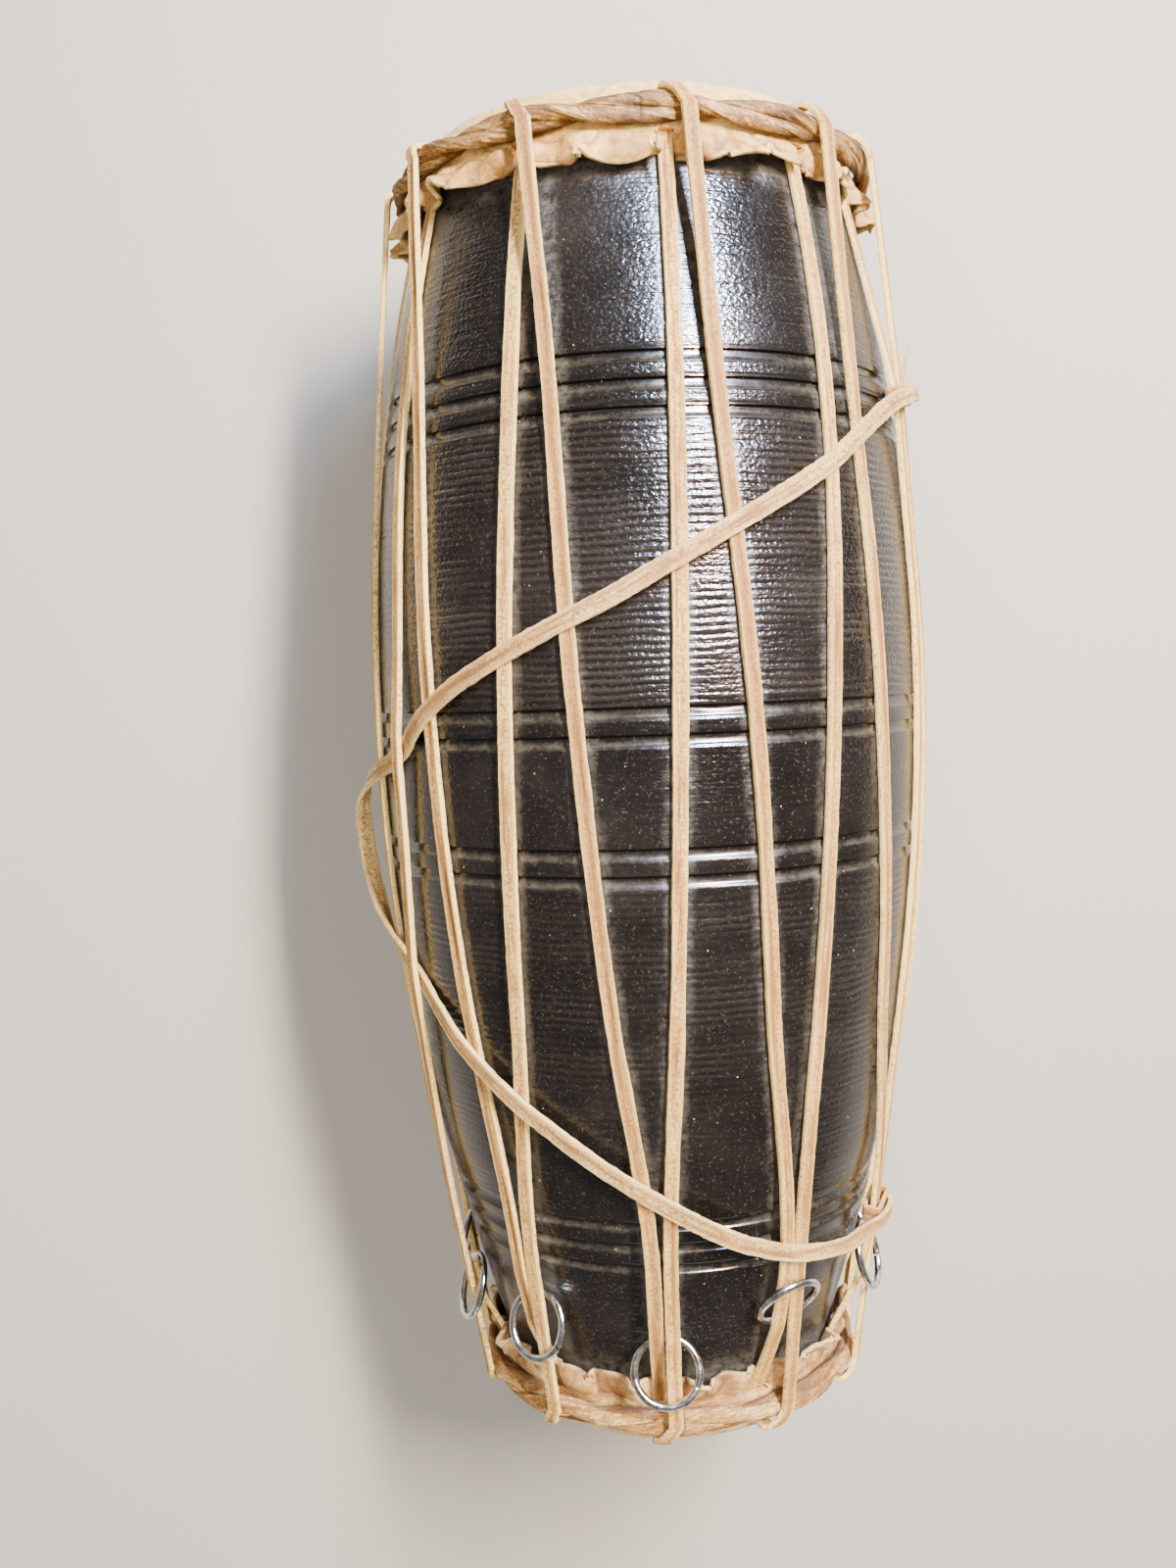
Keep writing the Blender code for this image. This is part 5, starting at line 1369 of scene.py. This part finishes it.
def roll_frame(head, share, phase):
    """The frame of one roll: where it is on its helix, and how its outline is turned there."""
    twist = math.tau * HOOP_TWISTS[head.name] * share * head.side + phase
    turn = math.tau * share
    wander = noise.noise(Vector((math.sin(turn) * 4, math.cos(turn) * 4, phase)))
    place = head.hoop + ROLL_SWAY[head.name] * math.cos(twist)
    radius = head.hoop_middle + ROLL_RISE[head.name] * math.sin(twist)
    out = Vector((math.sin(turn), 0, math.cos(turn)))
    axes = (Vector((0, ROLL_HALF_WIDTH[head.name] * (1 + 0.12 * wander), 0)), out * ROLL_HALF_DEPTH[head.name],
            across_drum(math.degrees(turn)) * MM)
    turned = Matrix(axes).transposed().to_4x4() @ Matrix.Rotation(LIP_TURNS * twist, 4, "Z")
    return Matrix.Translation(on_drum(math.degrees(turn), radius, head.side * place)) @ turned


def roll_run(head, phase, first, last):
    """One run of a roll, from one step to another."""
    bm = bmesh.new()
    along, across, lip = (bm.verts.layers.float.new(key) for key in ("along", "across", "lip"))
    frames = [roll_frame(head, step / HOOP_STEPS, phase) for step in range(first, last + 1)]
    length = math.tau * head.hoop_middle
    verts = []
    for side in range(ROLL_SIDES):
        turn = math.tau * side / ROLL_SIDES
        tooth = (2 * side / ROLL_SIDES) % 1
        swell = 0.80 + 0.24 * tooth
        vert = bm.verts.new(frames[0] @ Vector((swell * math.cos(turn), swell * math.sin(turn), 0)))
        vert[along] = length * first / HOOP_STEPS
        vert[across] = turn * ROLL_HALF_WIDTH[head.name]
        vert[lip] = 1.0 if tooth > 0.9 else 0.0
        verts.append(vert)
    edges = [bm.edges.new((vert, verts[(index + 1) % ROLL_SIDES])) for index, vert in enumerate(verts)]
    for step, (before, after) in enumerate(zip(frames, frames[1:]), first + 1):
        made = bmesh.ops.extrude_edge_only(bm, edges=edges)["geom"]
        moved = [item for item in made if isinstance(item, bmesh.types.BMVert)]
        edges = [item for item in made if isinstance(item, bmesh.types.BMEdge)]
        bmesh.ops.transform(bm, matrix=after @ before.inverted(), verts=moved)
        for vert in moved:
            vert[along] = length * step / HOOP_STEPS
    return bm


for head, hide in ((LARGE, HOOP_HIDE), (SMALL, SMALL_HOOP_HIDE)):
    bm = bmesh.new()
    for phase in (0.0, math.pi):
        for first in range(0, HOOP_STEPS, ROLL_RUN):
            join_into(bm, roll_run(head, phase, first, min(first + ROLL_RUN, HOOP_STEPS)))
    bmesh.ops.remove_doubles(bm, verts=bm.verts, dist=0.01 * MM)
    bmesh.ops.recalc_face_normals(bm, faces=bm.faces)
    bm.normal_update()
    along, across, lip = (bm.verts.layers.float[key] for key in ("along", "across", "lip"))
    rubbed, deep = (bm.verts.layers.float.new(key) for key in ("rubbed", "deep"))
    moves = []
    for vert in bm.verts:
        turn = math.radians(angle_of(vert.co))
        ring_place = Vector((math.sin(turn), math.cos(turn), 0)) * 6 + Vector((0, 0, vert[across] * 620))
        wrinkle = noise.noise(ring_place) + 0.5 * noise.noise(ring_place * 2.3)
        lump = noise.noise(vert.co * 150) + 0.5 * noise.noise(vert.co * 420)
        moves.append(vert.normal * (0.30 * MM * wrinkle + 0.22 * MM * lump))
        reach = (math.hypot(vert.co.x, vert.co.z - AXIS_Z) - head.hoop_middle) / (HOOP_DEPTH / 2)
        vert[rubbed] = min(max((reach - 0.75) * 2.0, 0.0) + 0.8 * vert[lip], 1.0)
        # How much painted shade lies on the low sides of the rolls.
        vert[deep] = min(max((0.55 - reach) * 1.6, 0.0), 1.0)
    for vert, move in zip(bm.verts, moves):
        vert.co += move
    hoop = add_piece(f"{head.name}_hoop_rolls", bm)
    dress(hoop, hide, "drum", "hoop", f"{head.name}_hoop")
    print(hoop.name, "faces", len(hoop.data.polygons))

# %% [markdown]
# ## The tuning rings
#
# A ring is a length of nickel-plated steel wire, bent round until its two ends meet. Slid along the drum, it pulls
# the two legs of its V together and tunes the head. The frame's own ring says where each one is and how it leans.
# A circle of wire is spun nearly all the way round, and its two cut ends are bevelled.

# %% The plated steel
material, tree = new_tree("nickel_plated_steel_wire")
place = add_node(tree, "TexCoord", None, None, OBJECT_PLACE)
tarnish = add_node(tree, "TexNoise", None, {"Vector": place, "Scale": 1000 / 3.5, "Detail": 5.0, "Roughness": 0.7})
scratch_map = add_node(tree, "Mapping", None, {"Vector": place, "Scale": per_mm(0.7, 6, 0.7)})
scratches = add_node(tree, "TexNoise", None, {"Vector": scratch_map, "Scale": 1.0, "Detail": 3.0})
colour = add_node(tree, "ValToRGB", {"stops": ((0.35, "#a39a90"), (0.6, "#dcdad8"))}, {"Fac": tarnish})
rough = add_node(tree, "MapRange", None, {
    "Value": tarnish, "From Min": 0.35, "From Max": 0.7, "To Min": 0.10, "To Max": 0.26})
bump = add_node(tree, "Bump", None, {"Height": scratches, "Distance": 0.03 * MM})
shader = add_node(tree, "BsdfPrincipled", None, {
    "Base Color": colour, "Roughness": rough, "Normal": bump, "Metallic": 1.0})
add_node(tree, "OutputMaterial", None, {"Surface": shader})

# %% The eleven rings
WIRE_SIDES = 20
RING_STEPS = 72
BUTT_GAP = 0.5 * MM
BUTT_DEG = 115


def ring_axes(node):
    """Centre and axes of a ring, from the frame's own: along the lacing, across it, and square to the ring."""
    points = [vert.co.copy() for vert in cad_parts[node].data.vertices]
    centre = sum(points, Vector()) / len(points)
    far = max(points, key=lambda point: (point - centre).length) - centre
    square = Vector()
    for point in points:
        cross = far.cross(point - centre)
        square += cross if cross.dot(square) >= 0 else -cross
    square.normalize()
    across = across_drum(angle_of(centre))
    along = across.cross(square).normalized()
    if along.y < 0:
        along = -along
    across = (across - across.dot(square) * square).normalized()
    return centre, along, across, along.cross(across).normalized()


for index in range(APEXES):
    name = f"tuning_ring_{index + 1:02d}"
    centre, along, across, square = ring_axes(name)
    bm = bmesh.new()
    start = math.radians(BUTT_DEG) + BUTT_GAP / RING_RADIUS / 2
    direction = Vector((math.cos(start), math.sin(start), 0))
    turn = Matrix.Rotation(start, 4, "Z") @ Matrix.Rotation(math.radians(90), 4, "X")
    circle = bmesh.ops.create_circle(
        bm, cap_ends=False, radius=WIRE_RADIUS, segments=WIRE_SIDES,
        matrix=Matrix.Translation(direction * RING_RADIUS) @ turn,
    )
    bmesh.ops.spin(
        bm, geom=circle["verts"] + list(bm.edges), cent=(0, 0, 0), axis=(0, 0, 1),
        angle=math.tau - BUTT_GAP / RING_RADIUS, steps=RING_STEPS, use_duplicate=False,
    )
    bmesh.ops.holes_fill(bm, edges=[edge for edge in bm.edges if edge.is_boundary])
    caps = [face for face in bm.faces if len(face.verts) == WIRE_SIDES]
    rims = {edge for face in caps for edge in face.edges}
    bmesh.ops.bevel(bm, geom=list(rims), offset=0.25 * MM, affect="EDGES", segments=2, profile=0.5, material=-1)
    bmesh.ops.recalc_face_normals(bm, faces=bm.faces)
    pose = Matrix((along, across, square)).transposed().to_4x4()
    bmesh.ops.transform(bm, matrix=Matrix.Translation(centre) @ pose, verts=bm.verts)
    ring = add_piece(f"{name}_wire", bm)
    dress(ring, material, name, "tuning_ring", name)
print("rings", APEXES)

# %% [markdown]
# ## Floor and light
#
# The floor is plain and pale. A narrow bright window, longer along the drum, gives the blue-white shine on the
# upper half of the shell, a small warm lamp gives the glint below it, and the pale room fills the rest.

# %% The floor
bm = bmesh.new()
bmesh.ops.create_grid(bm, x_segments=1, y_segments=1, size=3.0)
floor = add_piece("floor", bm)
material, tree = new_tree("plain_pale_floor")
shader = add_node(tree, "BsdfPrincipled", None, {"Base Color": linear("#b6b4b0"), "Roughness": 0.9})
add_node(tree, "OutputMaterial", None, {"Surface": shader})
floor.data.materials.append(material)

# %% The lights
# Name, place, size across and along the drum in metres, watts, colour, and whether it gives light and shine.
LIGHTS = (
    ("window", (0.44, 0.52, 1.12), 0.13, 0.50, 64.0, "#fff1da", True, False),
    ("window_shine", (0.485, 0.93, 1.10), 0.29, 0.48, 580.0, "#c8deff", False, True),
    ("lamp_shine", (0.50, 0.54, 1.10), 0.26, 0.30, 80.0, "#ffbc98", False, True),
    ("ceiling", (-0.25, -0.1, 1.4), 0.8, 0.8, 13.0, "#fff4e4", True, False),
    ("fill_foot", (0.1, -1.6, 0.4), 1.0, 0.4, 4.0, "#fffaf4", True, True),
)
LIT_POINT = Vector((0.0, 0.04, 0.1))
for name, place, across, along, watts, colour, gives_light, gives_shine in LIGHTS:
    data = bpy.data.lights.new(name, "AREA")
    data.shape = "RECTANGLE"
    data.size = across
    data.size_y = along
    data.energy = watts
    data.color = linear(colour)[:3]
    light = bpy.data.objects.new(name, data)
    light.visible_diffuse = gives_light
    light.visible_glossy = gives_shine
    bpy.context.scene.collection.objects.link(light)
    away = (Vector(place) - LIT_POINT).normalized()
    lengthwise = (Vector((0, 1, 0)) - away * away.y).normalized()
    facing = Matrix((lengthwise.cross(away), lengthwise, away)).transposed().to_4x4()
    light.matrix_world = Matrix.Translation(place) @ facing

world = bpy.data.worlds.new("soft_room")
world.use_nodes = True
world.node_tree.nodes["Background"].inputs["Color"].default_value = linear("#e6e4e2")
world.node_tree.nodes["Background"].inputs["Strength"].default_value = 0.38
bpy.context.scene.world = world
